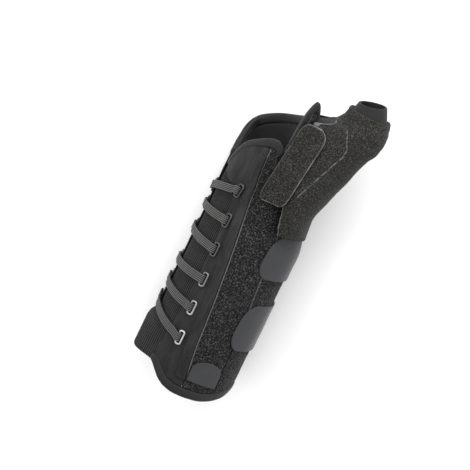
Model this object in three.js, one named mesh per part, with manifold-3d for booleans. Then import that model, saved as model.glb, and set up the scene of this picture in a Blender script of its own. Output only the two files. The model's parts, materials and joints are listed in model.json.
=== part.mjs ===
// Thumb spica splint for a left hand, laced on the dorsal side and lying on its ulnar side.
// Millimetres, +Z up. +Y runs along the forearm to the thumb tip, -X is the dorsal (laced) side.
import * as THREE from 'three';
import { mergeVertices } from 'three/addons/utils/BufferGeometryUtils.js';
import Module from 'manifold-3d';

const wasm = await Module();
wasm.setup();

// Driving dimensions
const LENGTH = 232;            // elbow end to thumb tip
const ARM_WIDTH = 70;          // dorsal to palmar, over the covers, at the forearm
const ARM_DEPTH = 76;          // radial to ulnar, over the covers, before the rest side is flattened
const REST_FLAT = 5;           // depth pressed flat where the splint rests
const HAND_TURN = 25;          // degrees that the hand section turns about the arm
const THUMB_REACH = 89;        // dorsal line to the outer side of the thumb shell
const THUMB_HEIGHT = 70;       // rest plane to the top of the thumb shell
const PADDING = 2.6;           // padded body wall
const GUSSET_WALL = 1.5;
const COVER_WALL = 1.0;        // suede and loop fabric panels
const POCKET_WALL = 1.4;       // raised stay pocket
const STRAP_WALL = 1.2;        // closure straps
const FLAP_WALL = 1.0;         // stay flap
const LINER_WALL = 1.5;
const SHELL_WALL = 1.5;
const WEB_STRAP_WALL = 1.5;
const BINDING_WIDTH = 6;
const CLEARANCE = 0.3;         // between faces that touch on the real splint
const EDGE_CLEARANCE = 0.5;    // between a binding and what it holds, where an edge slants
const SHELL_CLEARANCE = 0.5;   // under the thumb shell
const WEB_STRAP_CLEARANCE = 0.9;
const SEAM_GAP = 0.4;          // between panels that meet edge to edge
const HOLE_LIP = 4;            // body wall left inside the foot of the thumb shell
const RING_LENGTH = 10.6;
const RING_WIDTH = 4.8;
const RING_WIRE = 1.4;
const LACE_WIDTH = 6;
const LACE_THICKNESS = 1.0;
const UPPER_STRAP_WIDTH = 31;
const LOWER_STRAP_WIDTH = 34;
const WEB_STRAP_LENGTH = 60;
const WEB_STRAP_WIDTH = 19;
const STAY_FLAP_WIDTH = 20;
const STAY_POCKET_WIDTH = 6.6;

// Levels are distances out from the inner face of the padded body
const COVER_IN = PADDING + CLEARANCE;
const COVER_OUT = COVER_IN + COVER_WALL;
const TRIM_IN = COVER_OUT + CLEARANCE;
const SHELL_IN = LINER_WALL + SHELL_CLEARANCE;
const SHELL_OUT = SHELL_IN + SHELL_WALL;
const SHELL_FOOT = COVER_OUT + SHELL_CLEARANCE;

// Arm sections: shares of LENGTH, of half ARM_WIDTH, of half ARM_DEPTH and of HAND_TURN
const ARM_SECTIONS = [
  { at: 0.000, wide: 1.00, deep: 1.000, turn: 0.00 },
  { at: 0.260, wide: 1.00, deep: 0.965, turn: 0.00 },
  { at: 0.475, wide: 1.00, deep: 0.890, turn: 0.00 },
  { at: 0.580, wide: 0.91, deep: 0.865, turn: 0.18 },
  { at: 0.665, wide: 0.76, deep: 0.885, turn: 0.50 },
  { at: 0.770, wide: 0.56, deep: 0.950, turn: 0.88 },
  { at: 0.880, wide: 0.47, deep: 0.965, turn: 1.00 },
  { at: 1.000, wide: 0.43, deep: 0.940, turn: 1.04 },
];

// Thumb sections, inner face: shares of LENGTH, THUMB_REACH and THUMB_HEIGHT
const THUMB_SECTIONS = [
  { at: 0.525, x: 0.622, z: 0.540, wide: 0.118, high: 0.270 },
  { at: 0.604, x: 0.612, z: 0.590, wide: 0.119, high: 0.305 },
  { at: 0.680, x: 0.590, z: 0.655, wide: 0.186, high: 0.286 },
  { at: 0.780, x: 0.607, z: 0.685, wide: 0.246, high: 0.257 },
  { at: 0.836, x: 0.635, z: 0.700, wide: 0.267, high: 0.236 },
  { at: 0.866, x: 0.674, z: 0.700, wide: 0.266, high: 0.222 },
  { at: 0.896, x: 0.708, z: 0.693, wide: 0.254, high: 0.207 },
  { at: 0.918, x: 0.770, z: 0.686, wide: 0.197, high: 0.193 },
  { at: 0.936, x: 0.814, z: 0.671, wide: 0.147, high: 0.179 },
  { at: 0.963, x: 0.817, z: 0.657, wide: 0.118, high: 0.157 },
  { at: 1.000, x: 0.806, z: 0.643, wide: 0.085, high: 0.136 },
];
const SHELL_END = 0.963;
const LINER_START = 0.640;

// Edges of the splint against the angle about the arm, in degrees from the radial line, as shares of LENGTH
const EDGES = [
  { angle: -105, low: 0.050, high: 0.690 },
  { angle: -97, low: 0.050, high: 0.660 },
  { angle: -90, low: 0.050, high: 0.662 },
  { angle: -85, low: 0.050, high: 0.690 },
  { angle: -80, low: 0.050, high: 0.725 },
  { angle: -74, low: 0.050, high: 0.743 },
  { angle: -62, low: 0.051, high: 0.763 },
  { angle: -50, low: 0.052, high: 0.779 },
  { angle: -40, low: 0.050, high: 0.788 },
  { angle: -29, low: 0.032, high: 0.793 },
  { angle: -24, low: 0.022, high: 0.793 },
  { angle: -19, low: 0.013, high: 0.794 },
  { angle: -17, low: 0.011, high: 0.860 },
  { angle: -13, low: 0.007, high: 0.901 },
  { angle: -6, low: 0.002, high: 0.927 },
  { angle: 2, low: 0.000, high: 0.943 },
  { angle: 12, low: 0.000, high: 0.938 },
  { angle: 28, low: 0.002, high: 0.921 },
  { angle: 46, low: 0.010, high: 0.904 },
  { angle: 62, low: 0.022, high: 0.884 },
  { angle: 90, low: 0.045, high: 0.860 },
  { angle: 140, low: 0.040, high: 0.820 },
  { angle: 185, low: 0.030, high: 0.785 },
  { angle: 215, low: 0.040, high: 0.755 },
  { angle: 240, low: 0.048, high: 0.715 },
  { angle: 255, low: 0.050, high: 0.690 },
];

// Seams along the arm: share of LENGTH, then angles of the flap edge, the stay seam and the palmar seam
const SEAMS = [
  { at: 0.00, flap: -41, stay: 8, palm: 48 },
  { at: 0.06, flap: -41, stay: 6, palm: 46 },
  { at: 0.14, flap: -36, stay: 3, palm: 44 },
  { at: 0.28, flap: -31, stay: 1, palm: 40 },
  { at: 0.44, flap: -32, stay: -4, palm: 34 },
  { at: 0.61, flap: -38, stay: -12, palm: 30 },
  { at: 0.66, flap: -60, stay: -15, palm: 24 },
  { at: 0.70, flap: -80, stay: -18, palm: 18 },
  { at: 0.80, flap: -86, stay: -22, palm: 3 },
  { at: 1.00, flap: -86, stay: -22, palm: 3 },
];
const GAP_DORSAL = -12;        // body edge under the flap
const GAP_ULNAR = 252;         // body edge on the far side of the lacing gap
const ULNAR_FLAP = 262;
const ULNAR_SEAM = 216;
const LOBE_END = -92;          // where the dorsal lobe's binding ends over the lacing gap
const WEB_EDGE = -24;          // dorsal edge of the web tip
const STRAP_END = 122;         // closure straps run out of sight round the palmar side
const STRAP_ROUNDING = 18;     // degrees over which a strap widens from its end
const STRAP_POINT = 0.80;      // how much narrower its end is, before the square root
const UPPER_STRAP = { at: 0.474, start: 27 };
const LOWER_STRAP = { at: 0.253, start: 33 };
const POCKET = { low: 0.050, high: 0.735 };
const STAY_FLAP = { angle: 25.5, low: 0.052, high: 0.122 };
const WEB_STRAP = { at: 0.622, startX: 0.430, endX: 0.508, corner: 0.35 };

// Lace rows: where each ring sits, as shares of LENGTH, and the angle of its dorsal ring
const LACE_ROWS = [
  { dorsal: 0.610, ulnar: 0.560, angle: -29.0 },
  { dorsal: 0.517, ulnar: 0.502, angle: -25.0 },
  { dorsal: 0.427, ulnar: 0.427, angle: -22.5 },
  { dorsal: 0.336, ulnar: 0.323, angle: -20.0 },
  { dorsal: 0.248, ulnar: 0.260, angle: -19.0 },
  { dorsal: 0.155, ulnar: 0.200, angle: -17.5 },
];
const ULNAR_RING_ANGLE = -107;
const LACE_SHARES = [0.12, 0.2, 0.32, 0.45, 0.58, 0.7, 0.8, 0.88];
const LACE_SAG = 1.4;          // towards the knit, in the middle of the gap

const STEP_ANGLE = 12;         // divides a whole turn evenly
const STEP_LENGTH = 15;
const THUMB_STEP = 8;
const THUMB_COLUMNS = 24;
const LINE_SIDES = 5;
const OUTLINE_REACH = 0.6;     // how far the cutting outline stands in and out of the wall

const radians = THREE.MathUtils.degToRad;
const lerp = THREE.MathUtils.lerp;

// Reads a named column of a table at a place, with a monotone cubic between the rows
function read(rows, key, column, place) {
  const last = rows.length - 1;
  if (place <= rows[0][key]) return rows[0][column];
  if (place >= rows[last][key]) return rows[last][column];
  let i = 0;
  while (place > rows[i + 1][key]) i += 1;
  const run = (k) => rows[k + 1][key] - rows[k][key];
  const rise = (k) => (rows[k + 1][column] - rows[k][column]) / run(k);
  const slope = (k) => {
    if (k === 0) return rise(0);
    if (k === last) return rise(last - 1);
    const before = rise(k - 1);
    const after = rise(k);
    if (before * after <= 0) return 0;
    return (2 * before * after) / (before + after);
  };
  const t = (place - rows[i][key]) / run(i);
  const ease = t * t * (3 - 2 * t);
  return (
    lerp(rows[i][column], rows[i + 1][column], ease) +
    run(i) * t * (1 - t) * ((1 - t) * slope(i) - t * slope(i + 1))
  );
}

// Arm section at y: centre, half sizes of the inner face and turn
function armSection(y) {
  const at = y / LENGTH;
  const wide = (ARM_WIDTH / 2) * read(ARM_SECTIONS, 'at', 'wide', at);
  const deep = (ARM_DEPTH / 2) * read(ARM_SECTIONS, 'at', 'deep', at);
  const turn = radians(HAND_TURN * read(ARM_SECTIONS, 'at', 'turn', at));
  const reach = Math.hypot(wide * Math.cos(turn), deep * Math.sin(turn));
  const z = (deep + ARM_DEPTH / 2) / 2 - REST_FLAT;
  return { x: reach, z, wide: wide - COVER_OUT, deep: deep - COVER_OUT, turn };
}

// Point on the arm at an angle from the radial line, at a level out from the inner face
function armPoint(angle, y, level) {
  const s = armSection(y);
  const a = radians(angle);
  const across = (s.wide + level) * Math.sin(a);
  const up = (s.deep + level) * Math.cos(a);
  const x = s.x + across * Math.cos(s.turn) + up * Math.sin(s.turn);
  const z = s.z + up * Math.cos(s.turn) - across * Math.sin(s.turn);
  return new THREE.Vector3(x, y, z);
}

// The same point, kept over the rest plane: every layer is pressed flat by as much
function restedPoint(angle, y, level) {
  const p = armPoint(angle, y, level);
  p.z = Math.max(p.z, COVER_OUT - level);
  return p;
}

function thumbSection(y) {
  const at = y / LENGTH;
  return {
    x: THUMB_REACH * read(THUMB_SECTIONS, 'at', 'x', at),
    z: THUMB_HEIGHT * read(THUMB_SECTIONS, 'at', 'z', at),
    wide: THUMB_REACH * read(THUMB_SECTIONS, 'at', 'wide', at),
    high: THUMB_HEIGHT * read(THUMB_SECTIONS, 'at', 'high', at),
  };
}

function thumbPoint(angle, y, level) {
  const s = thumbSection(y);
  const a = radians(angle);
  return new THREE.Vector3(s.x + (s.wide + level) * Math.sin(a), y, s.z + (s.high + level) * Math.cos(a));
}

// Closed body between an inner and an outer grid of points, open or joined round along u
function layered(point, columns, rows, joined = false) {
  const width = joined ? columns : columns + 1;
  const positions = [];
  for (const side of [0, 1]) {
    for (let j = 0; j <= rows; j += 1) {
      for (let i = 0; i < width; i += 1) positions.push(...point(i / columns, j / rows, side));
    }
  }
  const index = [];
  const at = (i, j, side) => (side * (rows + 1) + j) * width + (i % width);
  const quad = (a, b, c, d) => index.push(a, b, c, a, c, d);
  for (let j = 0; j < rows; j += 1) {
    for (let i = 0; i < columns; i += 1) {
      quad(at(i, j, 1), at(i + 1, j, 1), at(i + 1, j + 1, 1), at(i, j + 1, 1));
      quad(at(i, j, 0), at(i, j + 1, 0), at(i + 1, j + 1, 0), at(i + 1, j, 0));
    }
  }
  for (let i = 0; i < columns; i += 1) {
    quad(at(i, 0, 0), at(i + 1, 0, 0), at(i + 1, 0, 1), at(i, 0, 1));
    quad(at(i, rows, 1), at(i + 1, rows, 1), at(i + 1, rows, 0), at(i, rows, 0));
  }
  for (let j = 0; j < rows && !joined; j += 1) {
    quad(at(0, j, 1), at(0, j + 1, 1), at(0, j + 1, 0), at(0, j, 0));
    quad(at(columns, j, 0), at(columns, j + 1, 0), at(columns, j + 1, 1), at(columns, j, 1));
  }
  return closedGeometry(positions, index);
}

// Closed tube or band: rings of points along a path, capped at the ends or joined into a loop
function swept(rings, loop = false) {
  const sides = rings[0].length;
  const positions = rings.flat().flatMap((p) => [...p]);
  const index = [];
  const spans = loop ? rings.length : rings.length - 1;
  for (let k = 0; k < spans; k += 1) {
    const next = (k + 1) % rings.length;
    for (let s = 0; s < sides; s += 1) {
      const t = (s + 1) % sides;
      index.push(k * sides + s, k * sides + t, next * sides + t);
      index.push(k * sides + s, next * sides + t, next * sides + s);
    }
  }
  if (!loop) {
    const end = (rings.length - 1) * sides;
    for (let s = 1; s < sides - 1; s += 1) {
      index.push(0, s + 1, s);
      index.push(end, end + s, end + s + 1);
    }
  }
  return closedGeometry(positions, index);
}

// Geometry whose faces look out, whichever way the grid was walked
function closedGeometry(positions, index) {
  let volume = 0;
  const corner = (k) => new THREE.Vector3().fromArray(positions, 3 * index[k]);
  for (let k = 0; k < index.length; k += 3) {
    volume += corner(k).dot(corner(k + 1).cross(corner(k + 2)));
  }
  const faces = volume < 0 ? index.slice().reverse() : index;
  const geometry = new THREE.BufferGeometry();
  geometry.setAttribute('position', new THREE.Float32BufferAttribute(positions, 3));
  geometry.setIndex(faces);
  geometry.computeVertexNormals();
  return geometry;
}

function toSolid(geometry) {
  const bare = geometry.clone();
  bare.deleteAttribute('normal');
  const merged = mergeVertices(bare, 1e-4);
  const vertProperties = new Float32Array(merged.attributes.position.array);
  const triVerts = new Uint32Array(merged.index.array);
  return new wasm.Manifold(new wasm.Mesh({ numProp: 3, vertProperties, triVerts }));
}

function toGeometry(solid) {
  const mesh = solid.getMesh();
  const geometry = new THREE.BufferGeometry();
  geometry.setAttribute('position', new THREE.BufferAttribute(new Float32Array(mesh.vertProperties), 3));
  geometry.setIndex(new THREE.BufferAttribute(new Uint32Array(mesh.triVerts), 1));
  geometry.computeVertexNormals();
  return geometry;
}

const steps = (span, step) => Math.max(1, Math.ceil(Math.abs(span) / step - 1e-6));

// Layer of the arm between two seams (angles against y) and two levels, before its outline is cut.
// Columns clear of both seams stand at the same angles in every layer, so that layers nest.
function armLayer(left, right, inner, outer) {
  const from = 0.001 * LENGTH;
  const to = 0.985 * LENGTH;
  const rows = steps(to - from, STEP_LENGTH);
  const places = Array.from({ length: rows + 1 }, (_, j) => lerp(from, to, j / rows));
  const lefts = places.map(left);
  const rights = places.map(right);
  const first = Math.ceil(Math.max(...lefts) / STEP_ANGLE + 0.3);
  const last = Math.floor(Math.min(...rights) / STEP_ANGLE - 0.3);
  const common = [];
  for (let k = first; k <= last; k += 1) common.push(k * STEP_ANGLE);
  const spread = (a, b, n) => Array.from({ length: n }, (_, k) => lerp(a, b, k / n));
  let columnsAt = (y) => [...spread(left(y), right(y), steps(right(from) - left(from), STEP_ANGLE)), right(y)];
  if (common.length > 1) {
    const near = steps(common[0] - Math.min(...lefts), STEP_ANGLE);
    const end = common[common.length - 1];
    const far = steps(Math.max(...rights) - end, STEP_ANGLE);
    columnsAt = (y) => [
      ...spread(left(y), common[0], near),
      ...common.slice(0, -1),
      ...spread(end, right(y), far),
      right(y),
    ];
  }
  const table = places.map(columnsAt);
  const columns = table[0].length - 1;
  const point = (u, v, side) => {
    const j = Math.round(v * rows);
    return restedPoint(table[j][Math.round(u * columns)], places[j], side ? outer : inner);
  };
  return layered(point, columns, rows);
}

// Where the splint ends at an angle: straight between the common columns
function edgeAt(angle, column) {
  const place = (k) => {
    const turned = k * STEP_ANGLE;
    return LENGTH * read(EDGES, 'angle', column, turned < EDGES[0].angle ? turned + 360 : turned);
  };
  const k = Math.floor(angle / STEP_ANGLE);
  return lerp(place(k), place(k + 1), angle / STEP_ANGLE - k);
}

// Ring-shaped body that holds all that lies inside the edge bindings
function outlineBody() {
  const inset = BINDING_WIDTH + EDGE_CLEARANCE;
  const start = STEP_ANGLE * Math.floor(EDGES[0].angle / STEP_ANGLE);
  const point = (u, v, side) => {
    const angle = Math.round(start + 360 * u);
    const low = edgeAt(angle, 'low') + inset;
    const high = edgeAt(angle, 'high') - inset;
    return restedPoint(angle, lerp(low, high, v), side ? COVER_OUT + OUTLINE_REACH : -OUTLINE_REACH);
  };
  return toSolid(layered(point, 360 / STEP_ANGLE, steps(LENGTH, STEP_LENGTH), true));
}

// Solid space inside the arm or the thumb at a level, for cutting
function fullSpace(pointAt, from, to, level, columns) {
  const rows = steps(to - from, STEP_LENGTH);
  const rings = [];
  for (let j = 0; j <= rows; j += 1) {
    const y = lerp(from, to, j / rows);
    rings.push(Array.from({ length: columns }, (_, i) => pointAt((360 * i) / columns, y, level)));
  }
  return toSolid(swept(rings));
}

const seam = (column, shift = 0) => (y) => read(SEAMS, 'at', column, y / LENGTH) + shift;
const fixed = (angle) => () => angle;
const armAngle = (size) => THREE.MathUtils.radToDeg(size / (ARM_WIDTH / 2));
const seamShift = armAngle(SEAM_GAP / 2);

const outline = outlineBody();
const shellStart = UPPER_STRAP.at * LENGTH + UPPER_STRAP_WIDTH / 2 + CLEARANCE;
const thumbHole = fullSpace(thumbPoint, shellStart, LENGTH * 1.02, -HOLE_LIP, 24);
const shellFoot = fullSpace(armPoint, -1, LENGTH * 1.05, SHELL_FOOT, 36);
const trimmed = (geometry) => toGeometry(toSolid(geometry).intersect(outline).subtract(thumbHole));

function paddedBody() {
  return trimmed(armLayer(fixed(GAP_DORSAL), fixed(GAP_ULNAR), 0, PADDING));
}

function laceGusset() {
  const left = fixed(GAP_ULNAR - 360 + seamShift);
  return trimmed(armLayer(left, fixed(GAP_DORSAL - seamShift), 0, GUSSET_WALL));
}

function cover(left, right) {
  return trimmed(armLayer(left, right, COVER_IN, COVER_OUT));
}

// Edge binding: the whole wall, as wide as the tape, along one end of the splint
function binding(left, right, column) {
  const inward = column === 'low' ? BINDING_WIDTH : -BINDING_WIDTH;
  const angles = [left];
  for (let k = Math.ceil(left / STEP_ANGLE + 0.2); k * STEP_ANGLE < right - 1; k += 1) angles.push(k * STEP_ANGLE);
  angles.push(right);
  const point = (u, v, side) => {
    const angle = angles[Math.round(u * (angles.length - 1))];
    return restedPoint(angle, edgeAt(angle, column) + inward * v, side ? COVER_OUT : 0);
  };
  return layered(point, angles.length - 1, 1);
}

// Strap laid round the covers, with a round end towards the laces
function closureStrap(strap, width) {
  const from = strap.start;
  const point = (u, v, side) => {
    const angle = lerp(from, STRAP_END, u);
    const short = Math.max(0, 1 - (angle - from) / STRAP_ROUNDING);
    const half = (width / 2) * Math.sqrt(1 - STRAP_POINT * short ** 2);
    return restedPoint(angle, strap.at * LENGTH + half * (2 * v - 1), TRIM_IN + (side ? STRAP_WALL : 0));
  };
  return layered(point, steps(STRAP_END - from, STEP_ANGLE * 0.7), 4);
}

// Raised strip over the dorsal stay
function stayPocket() {
  const across = armAngle(STAY_POCKET_WIDTH);
  const point = (u, v, side) => {
    const y = LENGTH * lerp(POCKET.low, POCKET.high, v);
    return restedPoint(seam('stay', across * (u - 1))(y), y, TRIM_IN + (side ? POCKET_WALL : 0));
  };
  return layered(point, 2, steps(LENGTH * (POCKET.high - POCKET.low), STEP_LENGTH));
}

// Flap with a round top end over the lower end of the stay
function stayFlap() {
  const half = armAngle(STAY_FLAP_WIDTH / 2);
  const low = STAY_FLAP.low * LENGTH;
  const high = STAY_FLAP.high * LENGTH;
  const point = (u, v, side) => {
    const across = 2 * u - 1;
    const top = lerp(high - STAY_FLAP_WIDTH / 3, high, Math.sqrt(Math.max(0, 1 - across ** 2)));
    return restedPoint(STAY_FLAP.angle + half * across, lerp(low, top, v), TRIM_IN + (side ? FLAP_WALL : 0));
  };
  return layered(point, 6, 2);
}

// Layer of the thumb sleeve, with rows and columns at the same places in every layer, down to the covers
function thumbLayer(from, to, inner, outer) {
  const places = [from];
  for (let k = Math.ceil(from / THUMB_STEP + 0.3); k * THUMB_STEP < to - 1; k += 1) places.push(k * THUMB_STEP);
  places.push(to);
  const rows = places.length - 1;
  const point = (u, v, side) => thumbPoint(360 * u, places[Math.round(v * rows)], side ? outer : inner);
  return toGeometry(toSolid(layered(point, THUMB_COLUMNS, rows, true)).subtract(shellFoot));
}

const thumbShell = () => thumbLayer(shellStart, SHELL_END * LENGTH, SHELL_IN, SHELL_OUT);
const thumbLiner = () => thumbLayer(LINER_START * LENGTH, LENGTH, 0, LINER_WALL);

// Height of the outside at x, y: the higher one of the covered arm and the thumb shell
function topAt(x, y) {
  const s = thumbSection(y);
  const across = (x - s.x) / (s.wide + SHELL_OUT);
  const thumb = Math.abs(across) < 1 ? s.z + (s.high + SHELL_OUT) * Math.sqrt(1 - across ** 2) : 0;
  let arm = 0;
  for (let angle = -60; angle < 60; angle += 1) {
    const p = armPoint(angle, y, COVER_OUT);
    const q = armPoint(angle + 1, y, COVER_OUT);
    if (p.x <= x && x <= q.x) arm = lerp(p.z, q.z, (x - p.x) / (q.x - p.x));
  }
  return Math.max(arm, thumb);
}

// Strap over the web, laid on the higher one of the arm and the thumb shell
function webStrap() {
  const point = (u, v, side) => {
    const y = WEB_STRAP.at * LENGTH + WEB_STRAP_LENGTH * v;
    const middle = THUMB_REACH * lerp(WEB_STRAP.startX, WEB_STRAP.endX, v);
    const end = 1 - WEB_STRAP.corner * Math.abs(2 * v - 1) ** 8;
    const x = middle + WEB_STRAP_WIDTH * (u - 0.5) * end;
    return new THREE.Vector3(x, y, topAt(x, y) + WEB_STRAP_CLEARANCE + (side ? WEB_STRAP_WALL : 0));
  };
  return layered(point, 6, 11);
}

// Frame on the covers at an angle and y: out from the arm, along it and round it towards the gap
function coverFrame(angle, y, side) {
  const here = armPoint(angle, y, COVER_OUT);
  const along = armPoint(angle, y + 1, COVER_OUT).sub(armPoint(angle, y - 1, COVER_OUT)).normalize();
  const round = armPoint(angle + side, y, COVER_OUT).sub(armPoint(angle - side, y, COVER_OUT));
  round.addScaledVector(along, -round.dot(along)).normalize();
  const out = new THREE.Vector3().crossVectors(round, along).multiplyScalar(side);
  return { here, along, round, out };
}

const place = (frame, round, along, out) =>
  frame.here
    .clone()
    .addScaledVector(frame.round, round)
    .addScaledVector(frame.along, along)
    .addScaledVector(frame.out, out);

const RING_HEIGHT = CLEARANCE + RING_WIRE / 2;
const BAR_ROUND = (RING_WIDTH - RING_WIRE) / 2;

// Rectangular wire ring with round corners, lying on the covers
function wireRing(angle, y, side) {
  const frame = coverFrame(angle, y, side);
  const bend = RING_WIRE * 0.75;
  const halfLong = (RING_LENGTH - RING_WIRE) / 2;
  const rings = [];
  for (const [cornerRound, cornerAlong, start] of [[1, 1, 0], [-1, 1, 90], [-1, -1, 180], [1, -1, 270]]) {
    for (const turn of [10, 80]) {
      const a = radians(start + turn);
      const round = cornerRound * (BAR_ROUND - bend) + bend * Math.cos(a);
      const along = cornerAlong * (halfLong - bend) + bend * Math.sin(a);
      const section = [];
      for (let s = 0; s < LINE_SIDES; s += 1) {
        const b = (2 * Math.PI * s) / LINE_SIDES;
        const wide = (RING_WIRE / 2) * Math.cos(b);
        const high = (RING_WIRE / 2) * Math.sin(b);
        section.push(place(frame, round + wide * Math.cos(a), along + wide * Math.sin(a), RING_HEIGHT + high));
      }
      rings.push(section);
    }
  }
  return swept(rings, true);
}

// Half of a lace's path: up out of the ring, over its bar and out to the edge of the flap
function laceEnd(angle, y, side) {
  const frame = coverFrame(angle, y, side);
  const bendRadius = RING_WIRE / 2 + CLEARANCE + LACE_THICKNESS / 2;
  const { along } = frame;
  const start = place(frame, BAR_ROUND - bendRadius, 0, CLEARANCE * 2);
  const path = [{ point: start, out: frame.round.clone().negate(), along }];
  for (const turn of [180, 135, 90, 65]) {
    const a = radians(turn);
    const out = frame.round.clone().multiplyScalar(Math.cos(a)).addScaledVector(frame.out, Math.sin(a));
    const round = BAR_ROUND + bendRadius * Math.cos(a);
    path.push({ point: place(frame, round, 0, RING_HEIGHT + bendRadius * Math.sin(a)), out, along });
  }
  return path;
}

const LACE_LIE = COVER_OUT + CLEARANCE + LACE_THICKNESS / 2;

// Flat lace from its dorsal ring, over the gap, to its ulnar ring
function lace(row) {
  const yDorsal = row.dorsal * LENGTH;
  const yUlnar = row.ulnar * LENGTH;
  const path = laceEnd(row.angle, yDorsal, -1);
  for (const share of LACE_SHARES) {
    const angle = lerp(row.angle, ULNAR_RING_ANGLE, share);
    const y = lerp(yDorsal, yUlnar, share);
    const sag = Math.sin(Math.PI * share) ** 2;
    const point = armPoint(angle, y, LACE_LIE + CLEARANCE - LACE_SAG * sag);
    const { out, along } = coverFrame(angle, y, -1);
    path.push({ point, out, along });
  }
  path.push(...laceEnd(ULNAR_RING_ANGLE, yUlnar, 1).reverse());
  const rings = path.map(({ point, out, along }) => {
    const corner = (w, t) =>
      point.clone().addScaledVector(along, (w * LACE_WIDTH) / 2).addScaledVector(out, (t * LACE_THICKNESS) / 2);
    return [corner(-1, -1), corner(1, -1), corner(1, 1), corner(-1, 1)];
  });
  return swept(rings);
}

// Materials
const finish = (color, roughness, metalness = 0) =>
  new THREE.MeshStandardMaterial({ color, roughness, metalness });
const FINISHES = {
  padding: () => finish(0x1b1b1e, 0.95),
  knit: () => finish(0x222226, 0.9),
  suede: () => finish(0x1d1d20, 0.85),
  loop: () => finish(0x2a2a2d, 1.0),
  closure: () => finish(0x47474d, 0.7),
  binding: () => finish(0x101012, 0.6),
  elastic: () => finish(0x5a5a5f, 0.8),
  steel: () => finish(0xa8a8ac, 0.3, 1.0),
};

const splint = new THREE.Group();
function add(name, geometry, material) {
  const mesh = new THREE.Mesh(geometry, FINISHES[material]());
  mesh.name = name;
  splint.add(mesh);
}

add('padded_body', paddedBody(), 'padding');
add('lace_gusset', laceGusset(), 'knit');
add('dorsal_lace_panel', cover(seam('flap'), seam('stay', -seamShift)), 'suede');
add('loop_panel', cover(seam('stay', seamShift), seam('palm', -seamShift)), 'loop');
add('palmar_panel', cover(seam('palm', seamShift), fixed(ULNAR_SEAM - seamShift)), 'loop');
add('ulnar_lace_panel', cover(fixed(ULNAR_SEAM + seamShift), fixed(ULNAR_FLAP)), 'suede');
add('dorsal_binding', binding(LOBE_END, WEB_EDGE - 2 * seamShift, 'high'), 'binding');
add('palmar_binding', binding(WEB_EDGE + STEP_ANGLE, ULNAR_FLAP, 'high'), 'binding');
add('bottom_binding', binding(seam('flap')(0), ULNAR_FLAP, 'low'), 'binding');
add('stay_pocket', stayPocket(), 'suede');
add('closure_strap_upper', closureStrap(UPPER_STRAP, UPPER_STRAP_WIDTH), 'closure');
add('closure_strap_lower', closureStrap(LOWER_STRAP, LOWER_STRAP_WIDTH), 'closure');
add('stay_flap', stayFlap(), 'closure');
add('thumb_shell', thumbShell(), 'loop');
add('thumb_liner', thumbLiner(), 'knit');
add('web_strap', webStrap(), 'loop');
LACE_ROWS.forEach((row, i) => {
  add(`dorsal_ring_${i + 1}`, wireRing(row.angle, row.dorsal * LENGTH, -1), 'steel');
  add(`ulnar_ring_${i + 1}`, wireRing(ULNAR_RING_ANGLE, row.ulnar * LENGTH, 1), 'steel');
  add(`lace_${i + 1}`, lace(row), 'elastic');
});

// The origin is the middle of the footprint, on the rest plane
const box = new THREE.Box3().setFromObject(splint);
const middle = box.getCenter(new THREE.Vector3());
for (const mesh of splint.children) mesh.position.set(-middle.x, -middle.y, -box.min.z);

export default splint;
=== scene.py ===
# %% [markdown]
# A thumb spica splint, lying on its side: a laced forearm tube with a hollow thumb sleeve.
# The packed CAD model gives the true sizes. This script dresses it: every soft layer is rebuilt as a
# fine sheet with round edges, worked out with numpy from the same sections, and gets a woven finish.
# Cloth could also be simulated, but a splint is held by what it is worn on, so its shape is known.

# %% Load the frame
import json
import math

import bpy
import numpy as np
from mathutils import Matrix, Vector

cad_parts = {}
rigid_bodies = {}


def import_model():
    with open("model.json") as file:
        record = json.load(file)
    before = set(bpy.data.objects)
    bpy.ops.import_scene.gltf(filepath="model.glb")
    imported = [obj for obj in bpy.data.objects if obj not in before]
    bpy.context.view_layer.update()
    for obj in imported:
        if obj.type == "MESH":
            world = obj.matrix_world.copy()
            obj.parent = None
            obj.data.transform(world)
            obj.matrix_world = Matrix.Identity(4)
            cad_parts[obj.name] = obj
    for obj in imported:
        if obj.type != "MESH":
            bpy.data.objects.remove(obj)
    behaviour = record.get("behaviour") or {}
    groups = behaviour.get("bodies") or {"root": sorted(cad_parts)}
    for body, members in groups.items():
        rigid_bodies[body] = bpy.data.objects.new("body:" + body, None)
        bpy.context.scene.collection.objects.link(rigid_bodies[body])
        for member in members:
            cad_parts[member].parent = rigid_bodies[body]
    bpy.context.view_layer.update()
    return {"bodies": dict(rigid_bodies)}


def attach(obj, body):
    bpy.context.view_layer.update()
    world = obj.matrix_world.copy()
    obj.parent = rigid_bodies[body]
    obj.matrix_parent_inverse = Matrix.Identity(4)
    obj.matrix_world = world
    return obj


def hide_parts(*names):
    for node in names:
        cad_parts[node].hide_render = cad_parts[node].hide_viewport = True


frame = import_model()

# %% [markdown]
# Sizes are in millimetres, as in the CAD model, and become metres when a mesh is made. A level is a
# distance out from the padded body's inner face, so layers that share a surface differ in level alone.

# %% Sizes
MM = 0.001
LENGTH = 232.0
ARM_WIDTH = 70.0
ARM_DEPTH = 76.0
REST_FLAT = 5.0
HAND_TURN = 25.0
THUMB_REACH = 89.0
THUMB_HEIGHT = 70.0
PADDING = 2.6
GUSSET_WALL = 1.5
COVER_IN, COVER_OUT = 2.9, 3.9
POCKET_WALL = 1.4
STRAP_WALL = 1.2
FLAP_WALL = 1.0
LINER_WALL = 1.5
SHELL_WALL = 1.5
WEB_STRAP_WALL = 1.5
BINDING_WIDTH = 6.0
CLEARANCE = 0.3
TRIM_IN = COVER_OUT + CLEARANCE
SHELL_OUT = LINER_WALL + 0.5 + SHELL_WALL
RING_LENGTH, RING_WIDTH, RING_WIRE = 10.6, 4.8, 1.4
LACE_WIDTH, LACE_THICKNESS = 6.0, 1.0
UPPER_STRAP_WIDTH, LOWER_STRAP_WIDTH = 31.0, 34.0
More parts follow.
